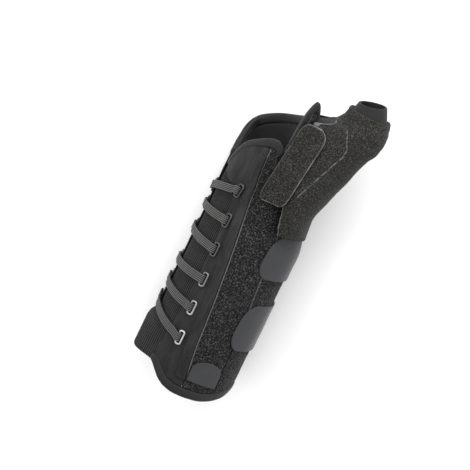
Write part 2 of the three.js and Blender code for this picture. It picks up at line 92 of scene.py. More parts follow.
WEB_STRAP_LENGTH, WEB_STRAP_WIDTH = 60.0, 19.0
STAY_FLAP_WIDTH, STAY_FLAP_ANGLE, STAY_POCKET_WIDTH = 21.5, 25.5, 6.6
STAY_FLAP_SPAN = 0.052, 0.122        # shares of the length
POCKET_SPAN = 0.05, 0.735
ORIGIN = np.array([43.455, LENGTH / 2, 0.0])   # the row frame's origin, from the dorsal line and elbow end
print("the tube is", LENGTH, "mm long and", ARM_WIDTH, "mm wide, with", COVER_OUT, "mm of cloth and foam")

# %% [markdown]
# The splint tapers to the wrist, turns with the hand and ends in a wavy edge. Each of these is a table.
# A row is listed and its values are shares of the sizes above. Between rows a monotone cubic runs,
# which never swings past a row, so the fabric has no waves that nobody put there.

# %% Tables of sections, edges and seams
ARM_SECTIONS = np.array([
    # at, wide, deep, turn
    (0.000, 1.00, 1.000, 0.00), (0.260, 1.00, 0.965, 0.00), (0.475, 1.00, 0.890, 0.00),
    (0.580, 0.91, 0.865, 0.18), (0.665, 0.76, 0.885, 0.50), (0.770, 0.56, 0.950, 0.88),
    (0.880, 0.47, 0.965, 1.00), (1.000, 0.43, 0.940, 1.04),
])
THUMB_SECTIONS = np.array([
    # at, x, z, wide, high
    (0.525, 0.622, 0.540, 0.118, 0.270), (0.604, 0.612, 0.590, 0.119, 0.305),
    (0.680, 0.590, 0.655, 0.186, 0.286), (0.780, 0.607, 0.685, 0.246, 0.257),
    (0.836, 0.635, 0.700, 0.267, 0.236), (0.866, 0.674, 0.700, 0.268, 0.222),
    (0.890, 0.697, 0.694, 0.262, 0.210), (0.902, 0.752, 0.691, 0.212, 0.203),
    (0.912, 0.797, 0.688, 0.168, 0.197), (0.936, 0.816, 0.671, 0.142, 0.179),
    (0.963, 0.817, 0.657, 0.118, 0.157), (1.000, 0.806, 0.643, 0.085, 0.136),
])
EDGES = np.array([
    # angle, low, high
    (-105, 0.050, 0.690), (-97, 0.050, 0.660), (-90, 0.050, 0.662), (-85, 0.050, 0.690),
    (-80, 0.050, 0.725), (-74, 0.050, 0.743), (-62, 0.051, 0.763), (-50, 0.052, 0.779),
    (-40, 0.050, 0.788), (-29, 0.032, 0.791), (-22, 0.018, 0.786), (-16, 0.010, 0.779),
    (-12, 0.006, 0.773), (-11.6, 0.006, 0.790), (-11, 0.005, 0.860), (-9, 0.004, 0.892),
    (-3, 0.001, 0.917), (4, 0.000, 0.932), (12, 0.000, 0.940), (20, 0.001, 0.934), (28, 0.002, 0.921),
    (46, 0.010, 0.902), (62, 0.022, 0.884), (90, 0.045, 0.860), (140, 0.040, 0.820),
    (185, 0.030, 0.785), (215, 0.040, 0.755), (240, 0.048, 0.715), (255, 0.050, 0.690),
])
SEAMS = np.array([
    # at, flap, stay, palm
    (0.00, -41, 8, 48), (0.06, -41, 6, 46), (0.14, -36, 2, 44), (0.28, -31, -2, 40),
    (0.44, -32, -8, 34), (0.605, -38, -16, 30), (0.62, -60, -16.8, 28), (0.635, -77, -17.5, 26),
    (0.66, -83, -20, 24), (0.70, -85, -25, 18), (0.80, -86, -38, 3), (1.00, -86, -38, 3),
])
LACE_ROWS = np.array([
    # dorsal ring, ulnar ring, dorsal angle
    (0.610, 0.560, -33.5), (0.517, 0.502, -28.5), (0.427, 0.427, -26.0),
    (0.336, 0.323, -22.5), (0.248, 0.260, -20.5), (0.155, 0.200, -18.0),
])
GAP_DORSAL, GAP_ULNAR = -12.0, 252.0
ULNAR_SEAM, ULNAR_FLAP, ULNAR_RING_ANGLE = 216.0, 262.0, -107.0
STRAP_END, STRAP_ROUNDING = 122.0, 17.0
UPPER_STRAP_AT, LOWER_STRAP_AT = 0.474, 0.253
THUMB_MOUTH = 0.963                  # where the thumb shell ends


def track(table, column):
    """Curve through a table column: Hermite cubics whose slope at a row is the harmonic mean of the
    rises on both sides, or level where they differ in sign."""
    xs, ys = table[:, 0], table[:, column]
    rise = np.diff(ys) / np.diff(xs)
    before, after = rise[:-1], rise[1:]
    both = np.where(before * after > 0, 2 * before * after / (before + after + 1e-12), 0)
    slope = np.concatenate([rise[:1], both, rise[-1:]])

    def at(x):
        x = np.clip(x, xs[0], xs[-1])
        i = np.clip(np.searchsorted(xs, x, side="right") - 1, 0, len(xs) - 2)
        run = xs[i + 1] - xs[i]
        t = (x - xs[i]) / run
        start = (1 + 2 * t) * (1 - t) ** 2 * ys[i] + t * (1 - t) ** 2 * run * slope[i]
        return start + t * t * (3 - 2 * t) * ys[i + 1] - t * t * (1 - t) * run * slope[i + 1]

    return at


arm_wide, arm_deep, arm_turn = (track(ARM_SECTIONS, k) for k in (1, 2, 3))
thumb_x, thumb_z, thumb_wide, thumb_high = (track(THUMB_SECTIONS, k) for k in (1, 2, 3, 4))
low_share, high_share = track(EDGES, 1), track(EDGES, 2)
flap_seam, stay_seam, palm_seam = (track(SEAMS, k) for k in (1, 2, 3))
print("tables read:", len(ARM_SECTIONS), "arm and", len(THUMB_SECTIONS), "thumb sections")

# %% [markdown]
# The arm's section is an ellipse that shrinks to the wrist and turns with the hand. Under the splint
# every layer is pressed flat on the table by a soft maximum, so the flat has no crease round it.


# %% Arm and thumb surfaces
def soft_max(a, b, blend):
    """The larger of two values, rounded off by a parabola where they differ by less than blend."""
    near = np.maximum(blend - np.abs(a - b), 0) / blend
    return np.maximum(a, b) + near * near * blend / 4


def soft_min(a, b, blend):
    return -soft_max(-a, -b, blend)


def arm_section(y):
    """Centre x, centre z, half width, half depth of the inner face and turn of the section at y."""
    at = y / LENGTH
    wide = ARM_WIDTH / 2 * arm_wide(at)
    deep = ARM_DEPTH / 2 * arm_deep(at)
    turn = np.radians(HAND_TURN * arm_turn(at))
    reach = np.hypot(wide * np.cos(turn), deep * np.sin(turn))
    return reach, (deep + ARM_DEPTH / 2) / 2 - REST_FLAT, wide - COVER_OUT, deep - COVER_OUT, turn


def arm_point(angle, y, level):
    """Ellipse point at an angle from the radial line, level out from the inner face. The ellipse turns
    with the hand."""
    x0, z0, wide, deep, turn = arm_section(y)
    a = np.radians(angle)
    across, up = (wide + level) * np.sin(a), (deep + level) * np.cos(a)
    x = x0 + across * np.cos(turn) + up * np.sin(turn)
    z = z0 + up * np.cos(turn) - across * np.sin(turn)
    return np.stack(np.broadcast_arrays(x, y, z), -1)


def rested_point(angle, y, level):
    """The same point, kept over the table: the outermost layer's floor is z = 0."""
    p = arm_point(angle, y, level)
    floor_height = np.maximum(COVER_OUT - np.broadcast_to(level, p.shape[:-1]), 0.02)
    p[..., 2] = soft_max(p[..., 2], floor_height, 1.2)
    return p


def thumb_section(y):
    """Centre x, centre z, half width and half height of the sleeve's inner face at y."""
    at = y / LENGTH
    return (THUMB_REACH * thumb_x(at), THUMB_HEIGHT * thumb_z(at),
            THUMB_REACH * thumb_wide(at), THUMB_HEIGHT * thumb_high(at))


def ellipse_distance(across, up, wide, deep):
    """Distance out from an ellipse: its implicit value over the length of its slope."""
    value = np.hypot(across / wide, up / deep)
    slope = np.hypot(across / wide**2, up / deep**2)
    return value * (value - 1) / np.maximum(slope, 1e-6)


def arm_level(p):
    """Distance of points out from the arm's inner face, in its section's own turned axes."""
    x0, z0, wide, deep, turn = arm_section(p[..., 1])
    dx, dz = p[..., 0] - x0, p[..., 2] - z0
    across, up = dx * np.cos(turn) - dz * np.sin(turn), dx * np.sin(turn) + dz * np.cos(turn)
    return ellipse_distance(across, up, wide, deep)


def thumb_level(p):
    x0, z0, wide, high = thumb_section(p[..., 1])
    return ellipse_distance(p[..., 0] - x0, p[..., 2] - z0, wide, high)


print("elbow section:", [round(float(v), 1) for v in arm_section(np.float64(0))])

# %% [markdown]
# Every piece becomes a mesh in the same way: an array of points and an array of faces go into Blender
# whole, which is much faster than point by point. Faces must point outwards, so that light and the
# thickness of the body come out right, and the mesh's volume tells whether they do.


# %% Mesh from points
def make_object(name, points, faces, places=None):
    """Object at the origin from points in CAD millimetres. Its volume, the sum over faces of the box
    product of their corners, says whether they point outwards. places are the UV maps by name."""
    faces = np.asarray(faces)
    corner = [points[faces[:, k]] for k in range(3)]
    volume = np.einsum("ij,ij->i", corner[0], np.cross(corner[1], corner[2])).sum()
    if faces.shape[1] == 4:
        last = points[faces[:, 3]]
        volume += np.einsum("ij,ij->i", corner[0], np.cross(corner[2], last)).sum()
    if volume < 0:
        faces = faces[:, ::-1]
    mesh = bpy.data.meshes.new(name)
    mesh.vertices.add(len(points))
    mesh.vertices.foreach_set("co", ((points - ORIGIN) * MM).astype(np.float32).ravel())
    sides = faces.shape[1]
    mesh.loops.add(faces.size)
    mesh.loops.foreach_set("vertex_index", faces.astype(np.int32).ravel())
    mesh.polygons.add(len(faces))
    mesh.polygons.foreach_set("loop_start", np.arange(0, faces.size, sides, dtype=np.int32))
    mesh.polygons.foreach_set("use_smooth", np.ones(len(faces), dtype=bool))
    mesh.update(calc_edges=True)
    for layer_name, values in (places or {}).items():
        layer = mesh.uv_layers.new(name=layer_name)
        layer.data.foreach_set("uv", (values[faces.ravel()] * MM).astype(np.float32).ravel())
    obj = bpy.data.objects.new(name, mesh)
    bpy.context.scene.collection.objects.link(obj)
    return obj


def quads(ids, wrap=False):
    """Faces between neighbouring rows and columns of an array of vertex numbers."""
    right = np.roll(ids, -1, 1) if wrap else ids[:, 1:]
    left = ids if wrap else ids[:, :-1]
    return np.stack([left[:-1], right[:-1], right[1:], left[1:]], -1).reshape(-1, 4)


print("a grid of 3 by 4 points has", len(quads(np.arange(12).reshape(3, 4))), "faces")

# %% [markdown]
# A cut piece of cloth could be a plane with Solidify, but its edge would be square. Here a soft layer is
# two grids of points that share their border, so the body is closed with no side walls. Tapes, wires
# and laces are tubes: rings of points along a path.


# %% Closed sheets and tubes
SHEET_SIZES = {}
FAR_FROM_EDGE = 5.0                  # millimetres, on pieces that have no cut edge


def pillow(name, outer, inner, flow, edge, mark=None):
    """Closed soft sheet from an outer and an inner grid whose borders coincide. mark is one more pair
    of numbers for each point."""
    mark = flow if mark is None else mark
    rows, columns = outer.shape[:2]
    top = np.arange(rows * columns).reshape(rows, columns)
    under = top.copy()
    under[1:-1, 1:-1] = top.size + np.arange((rows - 2) * (columns - 2)).reshape(rows - 2, columns - 2)
    points = np.concatenate([outer.reshape(-1, 3), inner[1:-1, 1:-1].reshape(-1, 3)])
    places = {
        key: np.concatenate([grid.reshape(-1, 2), grid[1:-1, 1:-1].reshape(-1, 2)])
        for key, grid in (("flow", flow), ("edge", edge), ("mark", mark))
    }
    faces = np.concatenate([quads(top), quads(under)[:, ::-1]])
    obj = make_object(name, points, faces, places)
    SHEET_SIZES[name] = sheet_size(outer)
    return obj


def sheet_size(grid):
    """Widest row, longest column and area of a grid of points, in metres."""
    across = np.linalg.norm(np.diff(grid, axis=1), axis=-1).sum(1).max()
    along = np.linalg.norm(np.diff(grid, axis=0), axis=-1).sum(0).max()
    corners = np.cross(grid[1:, 1:] - grid[:-1, :-1], grid[1:, :-1] - grid[:-1, 1:])
    return across * MM, along * MM, np.linalg.norm(corners, axis=-1).sum() / 2 * MM * MM


def tube(name, grid, loop=False, flow=None):
    """Closed body from rings of an even number of points, joined into a loop or capped: a cap's quads
    run from one side of the ring to the other."""
    count, sides = grid.shape[:2]
    ids = np.arange(count * sides).reshape(count, sides)
    if loop:
        faces = quads(np.vstack([ids, ids[:1]]), wrap=True)
    else:
        k = np.arange(sides // 2 - 1)
        cap = np.stack([k, k + 1, sides - 2 - k, sides - 1 - k], -1)
        faces = np.concatenate([quads(ids, wrap=True), ids[0][cap][:, ::-1], ids[-1][cap]])
    places = None if flow is None else {"flow": flow, "edge": flow * 0 + FAR_FROM_EDGE}
    return make_object(name, grid.reshape(-1, 3), faces, places)


square = np.array([[(0, 0, 0), (10, 0, 0)], [(0, 10, 0), (10, 10, 0)]])
print("width, length and area of a 10 mm square:", sheet_size(square))

# %% [markdown]
# A sheet's half thickness falls to nothing at its border along a quarter circle, so a cut edge is round
# and catches a line of light, as real cloth does. Rows of points lie close together there. Real cloth is
# never quite even either, and a few seeded sine waves give it that.


# %% Round edges and soft unevenness
EDGE_ROWS = np.array([0, 0.04, 0.15, 0.35, 0.65])       # on a round edge, as shares of its radius


def ticks(count, length, radius):
    """Places from 0 to 1 along a length, with extra ones on the round edge at each end."""
    round_edge = radius * EDGE_ROWS / length
    middle = np.linspace(radius / length, 1 - radius / length, max(count, 2))
    return np.concatenate([round_edge, middle, 1 - round_edge[::-1]])


def cloth_grid(width, length, cells, radius, half_wall=None):
    """Places across and along a sheet from 0 to 1, half its thickness at each, which climbs from each
    border on a quarter circle, and the distances from the left border and from the nearest other one."""
    u, v = np.meshgrid(ticks(cells[0], width, radius), ticks(cells[1], length, radius))
    ends = np.minimum(v, 1 - v) * length
    near = np.minimum(np.minimum(u, 1 - u) * width, ends)
    fall = np.sqrt(np.maximum(1 - (1 - np.clip(near / radius, 0, 1)) ** 2, 0))
    return u, v, (half_wall or radius) * fall, np.stack([u * width, np.minimum((1 - u) * width, ends)], -1)


def waves(a, b, length, seed, count=9):
    """Soft unevenness from -1 to 1: a seeded sum of sines in many directions, about one length long."""
    draw = np.random.default_rng(seed)
    total = np.zeros(np.broadcast(a, b).shape)
    for _ in range(count):
        turn, shift = draw.uniform(0, 2 * np.pi, 2)
        size = length * draw.uniform(0.7, 1.6)
        total += np.sin(2 * np.pi * (a * np.cos(turn) + b * np.sin(turn)) / size + shift)
    return total / count * 1.6


DEGREE = math.pi / 180 * ARM_WIDTH / 2          # millimetres round the arm for each degree
print("one degree round the arm is", round(DEGREE, 3), "mm")

# %% [markdown]
# A panel on the arm lies between two seams and two ends, and each of the four may wander. A Coons patch
# blends the four border curves in the plane of angle and length, so the cloth's grid follows them all.


# %% Panels between seams
def low_edge(inset):
    """The elbow end of a layer: y at an angle, moved in by inset."""
    return lambda angle: LENGTH * low_share(angle) + inset


def high_edge(inset):
    return lambda angle: LENGTH * high_share(angle) - inset


def at_length(seam, shift=0.0):
    return lambda y: seam(np.asarray(y) / LENGTH) + shift


def fixed(value):
    """A straight seam at one angle, or a straight end at one y."""
    return lambda along: np.full(np.shape(along), float(value))


def crossing(seam, edge):
    """The y where a seam meets an end, by halving the span 30 times."""
    a, b = -5.0, LENGTH + 5.0
    for _ in range(30):
        middle = (a + b) / 2
        if edge(float(seam(middle))) > middle:
            a = middle
        else:
            b = middle
    return (a + b) / 2


def coons(left, right, low, high, u, v):
    """Angle and y of the patch at u across and v along: the sum of both ruled surfaces less the
    bilinear one through the corners."""
    y_left = [crossing(left, low), crossing(left, high)]
    y_right = [crossing(right, low), crossing(right, high)]
    side_y = [y[0] + (y[1] - y[0]) * v for y in (y_left, y_right)]
    side_a = [left(side_y[0]), right(side_y[1])]
    a_low = left(y_left[0]) + (right(y_right[0]) - left(y_left[0])) * u
    a_high = left(y_left[1]) + (right(y_right[1]) - left(y_left[1])) * u
    ends = [(a_low, low(a_low)), (a_high, high(a_high))]
    corners = [[(left(y_left[k]), y_left[k]), (right(y_right[k]), y_right[k])] for k in (0, 1)]
    result = []
    for k, sides in ((0, side_a), (1, side_y)):
        ruled = (1 - u) * sides[0] + u * sides[1] + (1 - v) * ends[0][k] + v * ends[1][k]
        flat = (1 - v) * ((1 - u) * corners[0][0][k] + u * corners[0][1][k])
        flat = flat + v * ((1 - u) * corners[1][0][k] + u * corners[1][1][k])
        result.append(ruled - flat)
    return result


def panel(name, left, right, low, high, levels, cells, relief, radius=None, width=None):
    """Sheet on the arm between levels (inner, outer). relief adds to the outer level at angle, y."""
    width = width or abs(float(right(LENGTH / 3) - left(LENGTH / 3))) * DEGREE
    length = LENGTH * 0.75
    half_wall = (levels[1] - levels[0]) / 2
    u, v, half, edge = cloth_grid(width, length, cells, radius or half_wall, half_wall)
    angle, y = coons(left, right, low, high, u, v)
    middle = levels[0] + half_wall
    outer = rested_point(angle, y, middle + half + relief(angle, y) * np.clip(half * 2, 0, 1))
    inner = rested_point(angle, y, middle - half)
    return pillow(name, outer, inner, np.stack([angle * DEGREE, y], -1), edge)


END = BINDING_WIDTH + CLEARANCE
LOW, HIGH = low_edge(END), high_edge(END)
GAP = 0.35
print("panels end", END, "mm inside the splint's edges")

# %% [markdown]
# The padded body is foam between two knits. It swells a little between the covers' seams, which a sum
# of soft waves gives. The knit that fills the lacing gap has true ribs along the arm, because a bump map
# would leave its outline smooth. The covers over the padding are suede and loop fabric with a fine nap.


# %% Padded body, gusset and covers
RIB_PITCH, RIB_HEIGHT, BULGE = 1.7, 0.34, 5.2
OVERHANG = 7.3                  # how far the knit hangs out below the bottom binding


def padding_relief(angle, y):
    return 0.12 * waves(angle * DEGREE, y, 26, 3)


def smooth_step(low, high, value):
    t = np.clip((value - low) / (high - low), 0, 1)
    return t * t * (3 - 2 * t)


def rib_relief(angle, y):
    """Ribs along the arm, as the size of a cosine, and a bulge below the last lace, where nothing
    presses on the knit. The lace crosses the gusset at a slant."""
    ribs = RIB_HEIGHT * np.abs(np.cos(np.pi * angle * DEGREE / RIB_PITCH))
    last_lace = 0.155 + 0.045 * (-17.5 - angle) / 89.5
    free = smooth_step(0.012, 0.055, last_lace - y / LENGTH)
    middle = smooth_step(-42, -78, angle) * smooth_step(-109, -99, angle)
    return ribs + BULGE * free * middle


def gusset_low(angle):
    """The knit hangs out below the bottom binding, left of the binding's end."""
    return LOW(angle) - OVERHANG * smooth_step(-42.0, -45.5, angle)


def cloth_relief(seed, height=0.1):
    return lambda angle, y: height * waves(angle * DEGREE, y, 17, seed)


def nap_relief(seed):
    """Loop fabric: tufts of about 1.5 mm over softer hills."""
    def relief(angle, y):
        a, b = angle * DEGREE, y
        tufts = waves(a, b, 1.9, seed, 14) + 0.7 * waves(a, b, 3.1, seed + 1)
        return 0.09 * tufts + 0.1 * waves(a, b, 21, seed + 2)
    return relief


body = panel("padded_body_foam", fixed(GAP_DORSAL), fixed(GAP_ULNAR), LOW, HIGH, (0, PADDING),
             (150, 110), padding_relief)
gusset = panel("lace_gusset_knit", fixed(GAP_ULNAR - 360 + GAP), fixed(GAP_DORSAL - GAP), gusset_low,
               HIGH, (0, GUSSET_WALL), (300, 60), rib_relief)
dorsal = panel("dorsal_lace_suede", at_length(flap_seam), at_length(stay_seam, -GAP), LOW, HIGH,
               (COVER_IN, COVER_OUT), (50, 130), cloth_relief(5))
loops = panel("loop_panel_cloth", at_length(stay_seam, GAP), at_length(palm_seam, -GAP), LOW, HIGH,
              (COVER_IN, COVER_OUT), (50, 260), nap_relief(11))
palm = panel("palmar_panel_cloth", at_length(palm_seam, GAP), fixed(ULNAR_SEAM - GAP), LOW, HIGH,
             (COVER_IN, COVER_OUT), (170, 220), nap_relief(21))
ulnar = panel("ulnar_lace_suede", fixed(ULNAR_SEAM + GAP), fixed(ULNAR_FLAP), LOW, HIGH,
              (COVER_IN, COVER_OUT), (36, 110), cloth_relief(6))
print("arm layers:", sum(len(o.data.polygons) for o in (body, gusset, dorsal, loops, palm, ulnar)), "faces")

# %% [markdown]
# The thumb sleeve is sewn on over the thumb hole and runs smoothly into the arm. Metaballs could blend
# the two, but they don't keep sizes. Here its surface is where a soft minimum of two distances, to the
# arm and to the thumb, reaches the shell's level. Rays from the thumb's centre line find it.


# %% Sleeve surface
WEB_END = 0.906 * LENGTH


def shell_field(p, arm_skin, thumb_skin, blend):
    """Below zero inside the sleeve. Past the web the arm's share fades, so the thumb stands alone."""
    past_web = 2.5 * np.maximum(p[..., 1] - WEB_END, 0)
    return soft_min(arm_level(p) - arm_skin + past_web, thumb_level(p) - thumb_skin, blend)


def first_rise(value):
    """Number of the first sample above zero along the last axis, and the share of the step before it
    at which a straight line between the two meets zero."""
    count = value.shape[-1]
    first = np.clip(np.argmax(value > 0, -1), 1, count - 1)
    first = np.where((value > 0).any(-1), first, count - 1)
    before = np.take_along_axis(value, (first - 1)[..., None], -1)[..., 0]
    after = np.take_along_axis(value, first[..., None], -1)[..., 0]
    return first, np.clip(-before / (after - before + 1e-9), 0, 1)


def ray_hits(y, turn, skins, reach=70.0, count=141):
    """Point on each ray from the thumb's centre line at which the field turns positive."""
    x0, z0, _, _ = thumb_section(y)
    steps = np.linspace(0, reach, count)
    a = np.radians(turn)[..., None]
    p = np.stack(np.broadcast_arrays(
        x0[..., None] + steps * np.sin(a), y[..., None], z0[..., None] + steps * np.cos(a)), -1)
    first, share = first_rise(shell_field(p, *skins))
    r = steps[first - 1] + share * (steps[1] - steps[0])
    a = a[..., 0]
    return np.stack([x0 + r * np.sin(a), np.broadcast_to(y, r.shape), z0 + r * np.cos(a)], -1)


tip = ray_hits(np.full((1, 1), 0.95 * LENGTH), np.full((1, 1), 90.0), (6.0, SHELL_OUT, 7.0))
print("the sleeve's side near the thumb tip is at", tip.round(1).ravel())

# %% [markdown]
# The sleeve is a closed ring past the web, and open below it, where its two sides are sewn to the arm.
# So each row of its grid has its own first and last direction, and they change smoothly row by row.


# %% Rows of the sleeve
def smoothed(values, times):
    """Each value becomes half of itself and a quarter of both neighbours, several times."""
    for _ in range(times):
        padded = np.concatenate([values[:1], values, values[-1:]])
        values = (padded[:-2] + 2 * padded[1:-1] + padded[2:]) / 4
    return values


def row_turns(y_rows, u_ticks, step, past_seam, window=0):
    """Ray directions across each row. Both ways from 90 degrees a row goes on until past_seam says that
    it is on the arm, or half way round. The limits are the least of the rows near by, then smoothed."""
    spread = np.arange(0, 181, step)
    limits = []
    for way in (-1, 1):
        y, turn = np.meshgrid(y_rows, 90 + way * spread, indexing="ij")
        past = past_seam(turn, y)
        stop = np.where(past.any(1), spread[np.clip(past.argmax(1) - 1, 0, None)], 180.0)
        near = np.pad(stop, window, mode="edge")
        stop = np.min([near[k:k + len(stop)] for k in range(2 * window + 1)], axis=0)
        limits.append(smoothed(stop, 4))
    return 90 - limits[0][:, None] + (limits[0] + limits[1])[:, None] * u_ticks


def grid_normals(grid):
    """Unit vectors square to a grid of points, out from the thumb's centre line."""
    along = np.gradient(grid, axis=0)
    across = np.gradient(grid, axis=1)
    normal = np.cross(across, along)
    normal /= np.linalg.norm(normal, axis=-1, keepdims=True) + 1e-9
    x0, z0, _, _ = thumb_section(grid[..., 1])
    out = np.stack([grid[..., 0] - x0, 0 * x0, grid[..., 2] - z0], -1)
    return normal * np.sign((normal * out).sum())


print("rows are smoothed, as in", smoothed(np.array([0.0, 0.0, 4.0, 0.0, 0.0]), 1))

# %% [markdown]
# The felt shell wraps over the thumb and is stitched down along a line that shows as a low step with a
# painted highlight along it. The step, the nap and the creases are part of the shape, and the highlight is
# painted in the material, which reads the distance from the line as a UV map.


# %% Thumb shell
ARM_SKIN = COVER_OUT + CLEARANCE + SHELL_WALL
SHELL_SKINS = (ARM_SKIN, SHELL_OUT, 7.0)      # levels over arm and thumb, and the blend between them
ROUND = 110.0                                 # millimetres round the sleeve, for its edges
TURN_PLACE = 0.35                             # millimetres along the cloth for each degree round the thumb
THUMB_TOP = 40.0                              # height above which the wrap's edge shows
WRAP_LINE = np.array([(53.0, 157.0), (60.5, 176.0), (68.0, 193.5), (68.6, 199.0), (63.0, 211.0)])


def line_side(x, y, line):
    """Signed distance from a line of points seen from above: positive on the thumb's outer side."""
    best = np.full(x.shape, 1e9)
    sign = np.ones(x.shape)
    for (ax, ay), (bx, by) in zip(line[:-1], line[1:]):
        dx, dy = bx - ax, by - ay
        t = np.clip(((x - ax) * dx + (y - ay) * dy) / (dx * dx + dy * dy), 0, 1)
        gap = np.hypot(x - ax - t * dx, y - ay - t * dy)
        side = np.sign((x - ax) * dy - (y - ay) * dx)
        nearer = gap < best
        best = np.where(nearer, gap, best)
        sign = np.where(nearer, side, sign)
    return best * sign


def felt_relief(grid, flow):
    """Short nap, soft creases across the thumb's base and the raised edge of the wrap over the thumb."""
    a, b = flow[..., 0], flow[..., 1]
    nap = 0.07 * waves(grid[..., 0] + grid[..., 2] * 0.6, b, 2.1, 31, 14)
    creases = 0.25 * waves(grid[..., 0], b * 0.8, 24, 33, 6)
    upper = grid[..., 2] > THUMB_TOP
    wrap = 0.7 / (1 + np.exp(-np.clip(line_side(grid[..., 0], b, WRAP_LINE), -6, 6) * 3.5))
    ring = 0.35 * np.exp(-((b - 0.937 * LENGTH) / 1.2) ** 2)
    return nap + creases + wrap * upper - ring


def shell_skirt(at):
    """How far the shell reaches over the arm, beyond the thumb: drawn in above its foot."""
    return 0.6 + 1.0 * (1 - smooth_step(0.54, 0.60, at)) + 3.9 * smooth_step(0.63, 0.72, at)


def sleeve(name, start, end, rows, columns):
    """Soft sheet of the sleeve: the ray grid outside, and the same grid moved in by the wall."""
    length = (end - start) * LENGTH
    u, v, half, edge = cloth_grid(ROUND, length, (columns, rows), SHELL_WALL / 2)
    y = LENGTH * start + length * v
    turn = row_turns(y[:, 0], u[0], 2.0, lambda turn, y: thumb_level(
        ray_hits(y, turn, SHELL_SKINS)) > SHELL_OUT + shell_skirt(y / LENGTH), window=3)
    grid = ray_hits(y, turn, SHELL_SKINS)
    normal = grid_normals(grid)
    flow = np.stack([turn * TURN_PLACE, grid[..., 1]], -1)
    lift = felt_relief(grid, flow) * np.clip(half * 2 / SHELL_WALL, 0, 1)
    centre = grid - normal * SHELL_WALL / 2
    outer = centre + normal * (half + lift)[..., None]
    inner = centre - normal * half[..., None]
    wrap = line_side(grid[..., 0], grid[..., 1], WRAP_LINE)
    mark = np.stack([np.where(grid[..., 2] > THUMB_TOP, wrap, 9.0), wrap], -1)
    return pillow(name, outer, inner, flow, edge, mark)


SHELL_START = UPPER_STRAP_AT + (UPPER_STRAP_WIDTH / 2 + CLEARANCE) / LENGTH
thumb_shell = sleeve("thumb_shell_felt", SHELL_START, THUMB_MOUTH, 150, 150)
print("thumb shell:", len(thumb_shell.data.polygons), "faces")

# %% [markdown]
# Inside it a smooth knit liner stands out at the thumb tip. It follows the thumb's ellipses alone, and
# its mouth is slanted.


# %% Thumb liner
LINER_SPAN = 0.64, 1.0          # shares of the length
MOUTH_SLANT = 4.0               # how much shorter its inner side is


def thumb_point(turn, y, level):
    """Point of the sleeve's own ellipse at a turn from straight up, level out from it."""
    x0, z0, wide, high = thumb_section(y)
    a = np.radians(turn)
    x, z = x0 + (wide + level) * np.sin(a), z0 + (high + level) * np.cos(a)
    return np.stack(np.broadcast_arrays(x, y, z), -1)


def liner(name, start, end):
    """Sleeve on the thumb's own ellipses, with a slanted mouth, open where it runs into the arm's cover."""
    length = (end - start) * LENGTH
    radius = LINER_WALL / 2
    u, v, half, edge = cloth_grid(ROUND, length, (90, 70), radius)
    y = start * LENGTH + length * v
    turn = row_turns(y[:, 0], u[0], 1.0, lambda turn, y: arm_level(
        thumb_point(turn, y, LINER_WALL)) < COVER_OUT + 0.6)
    y = y - MOUTH_SLANT * v**6 * (1 - np.sin(np.radians(turn))) / 2
    outer = thumb_point(turn, y, radius + half)
    inner = thumb_point(turn, y, radius - half)
    return pillow(name, outer, inner, np.stack([turn * TURN_PLACE, y], -1), edge)


thumb_liner = liner("thumb_liner_knit", *LINER_SPAN)
print("thumb liner:", len(thumb_liner.data.polygons), "faces")

# %% [markdown]
# Straps, flap and pocket strip are sheets too, on top of the covers. A round end could be cut with a
# Boolean, but the cloth's grid would break there. Instead each line along the strap starts later the
# nearer it is to the strap's side.


# %% Straps, flap and pocket
def strap(name, middle, width, start, slant):
    """Closure strap: y runs across it, the angle along it, from an end with round corners."""
    radius = STRAP_WALL / 2
    u, v, half, edge = cloth_grid(width, (STRAP_END - start) * DEGREE, (30, 70), radius)
    across = 2 * u - 1
    drawn_in = 1 - (1 - 0.98 * np.abs(across) ** 3) ** 0.5
    begin = start + slant * (across + 1) / 2 + STRAP_ROUNDING * drawn_in
    angle = begin + (STRAP_END - begin) * v
    y = middle + width / 2 * across
    bow = 0.12 * waves(angle * DEGREE, y, 19, 41)
    outer = rested_point(angle, y, TRIM_IN + radius + half + bow)
    inner = rested_point(angle, y, TRIM_IN + radius - half)
    return pillow(name, outer, inner, np.stack([y, angle * DEGREE], -1), edge)


def pocket_relief(angle, y):
    """Soft round back of the strip, with the stay under its middle."""
    across = (angle - stay_seam(y / LENGTH)) * DEGREE + STAY_POCKET_WIDTH / 2
    return 0.45 * np.cos(np.clip(across / STAY_POCKET_WIDTH, -0.5, 0.5) * np.pi) - 0.1


pocket_angle = math.degrees(STAY_POCKET_WIDTH / (ARM_WIDTH / 2))
stay_pocket = panel("stay_pocket_strip", at_length(stay_seam, -pocket_angle), at_length(stay_seam, -0.3),
                    *(fixed(share * LENGTH) for share in POCKET_SPAN), (TRIM_IN, TRIM_IN + POCKET_WALL),
                    (14, 130), pocket_relief, width=STAY_POCKET_WIDTH, radius=1.3)
upper_strap = strap("closure_strap_upper_tape", UPPER_STRAP_AT * LENGTH, UPPER_STRAP_WIDTH, 24, 6)
lower_strap = strap("closure_strap_lower_tape", LOWER_STRAP_AT * LENGTH, LOWER_STRAP_WIDTH, 32, 4)

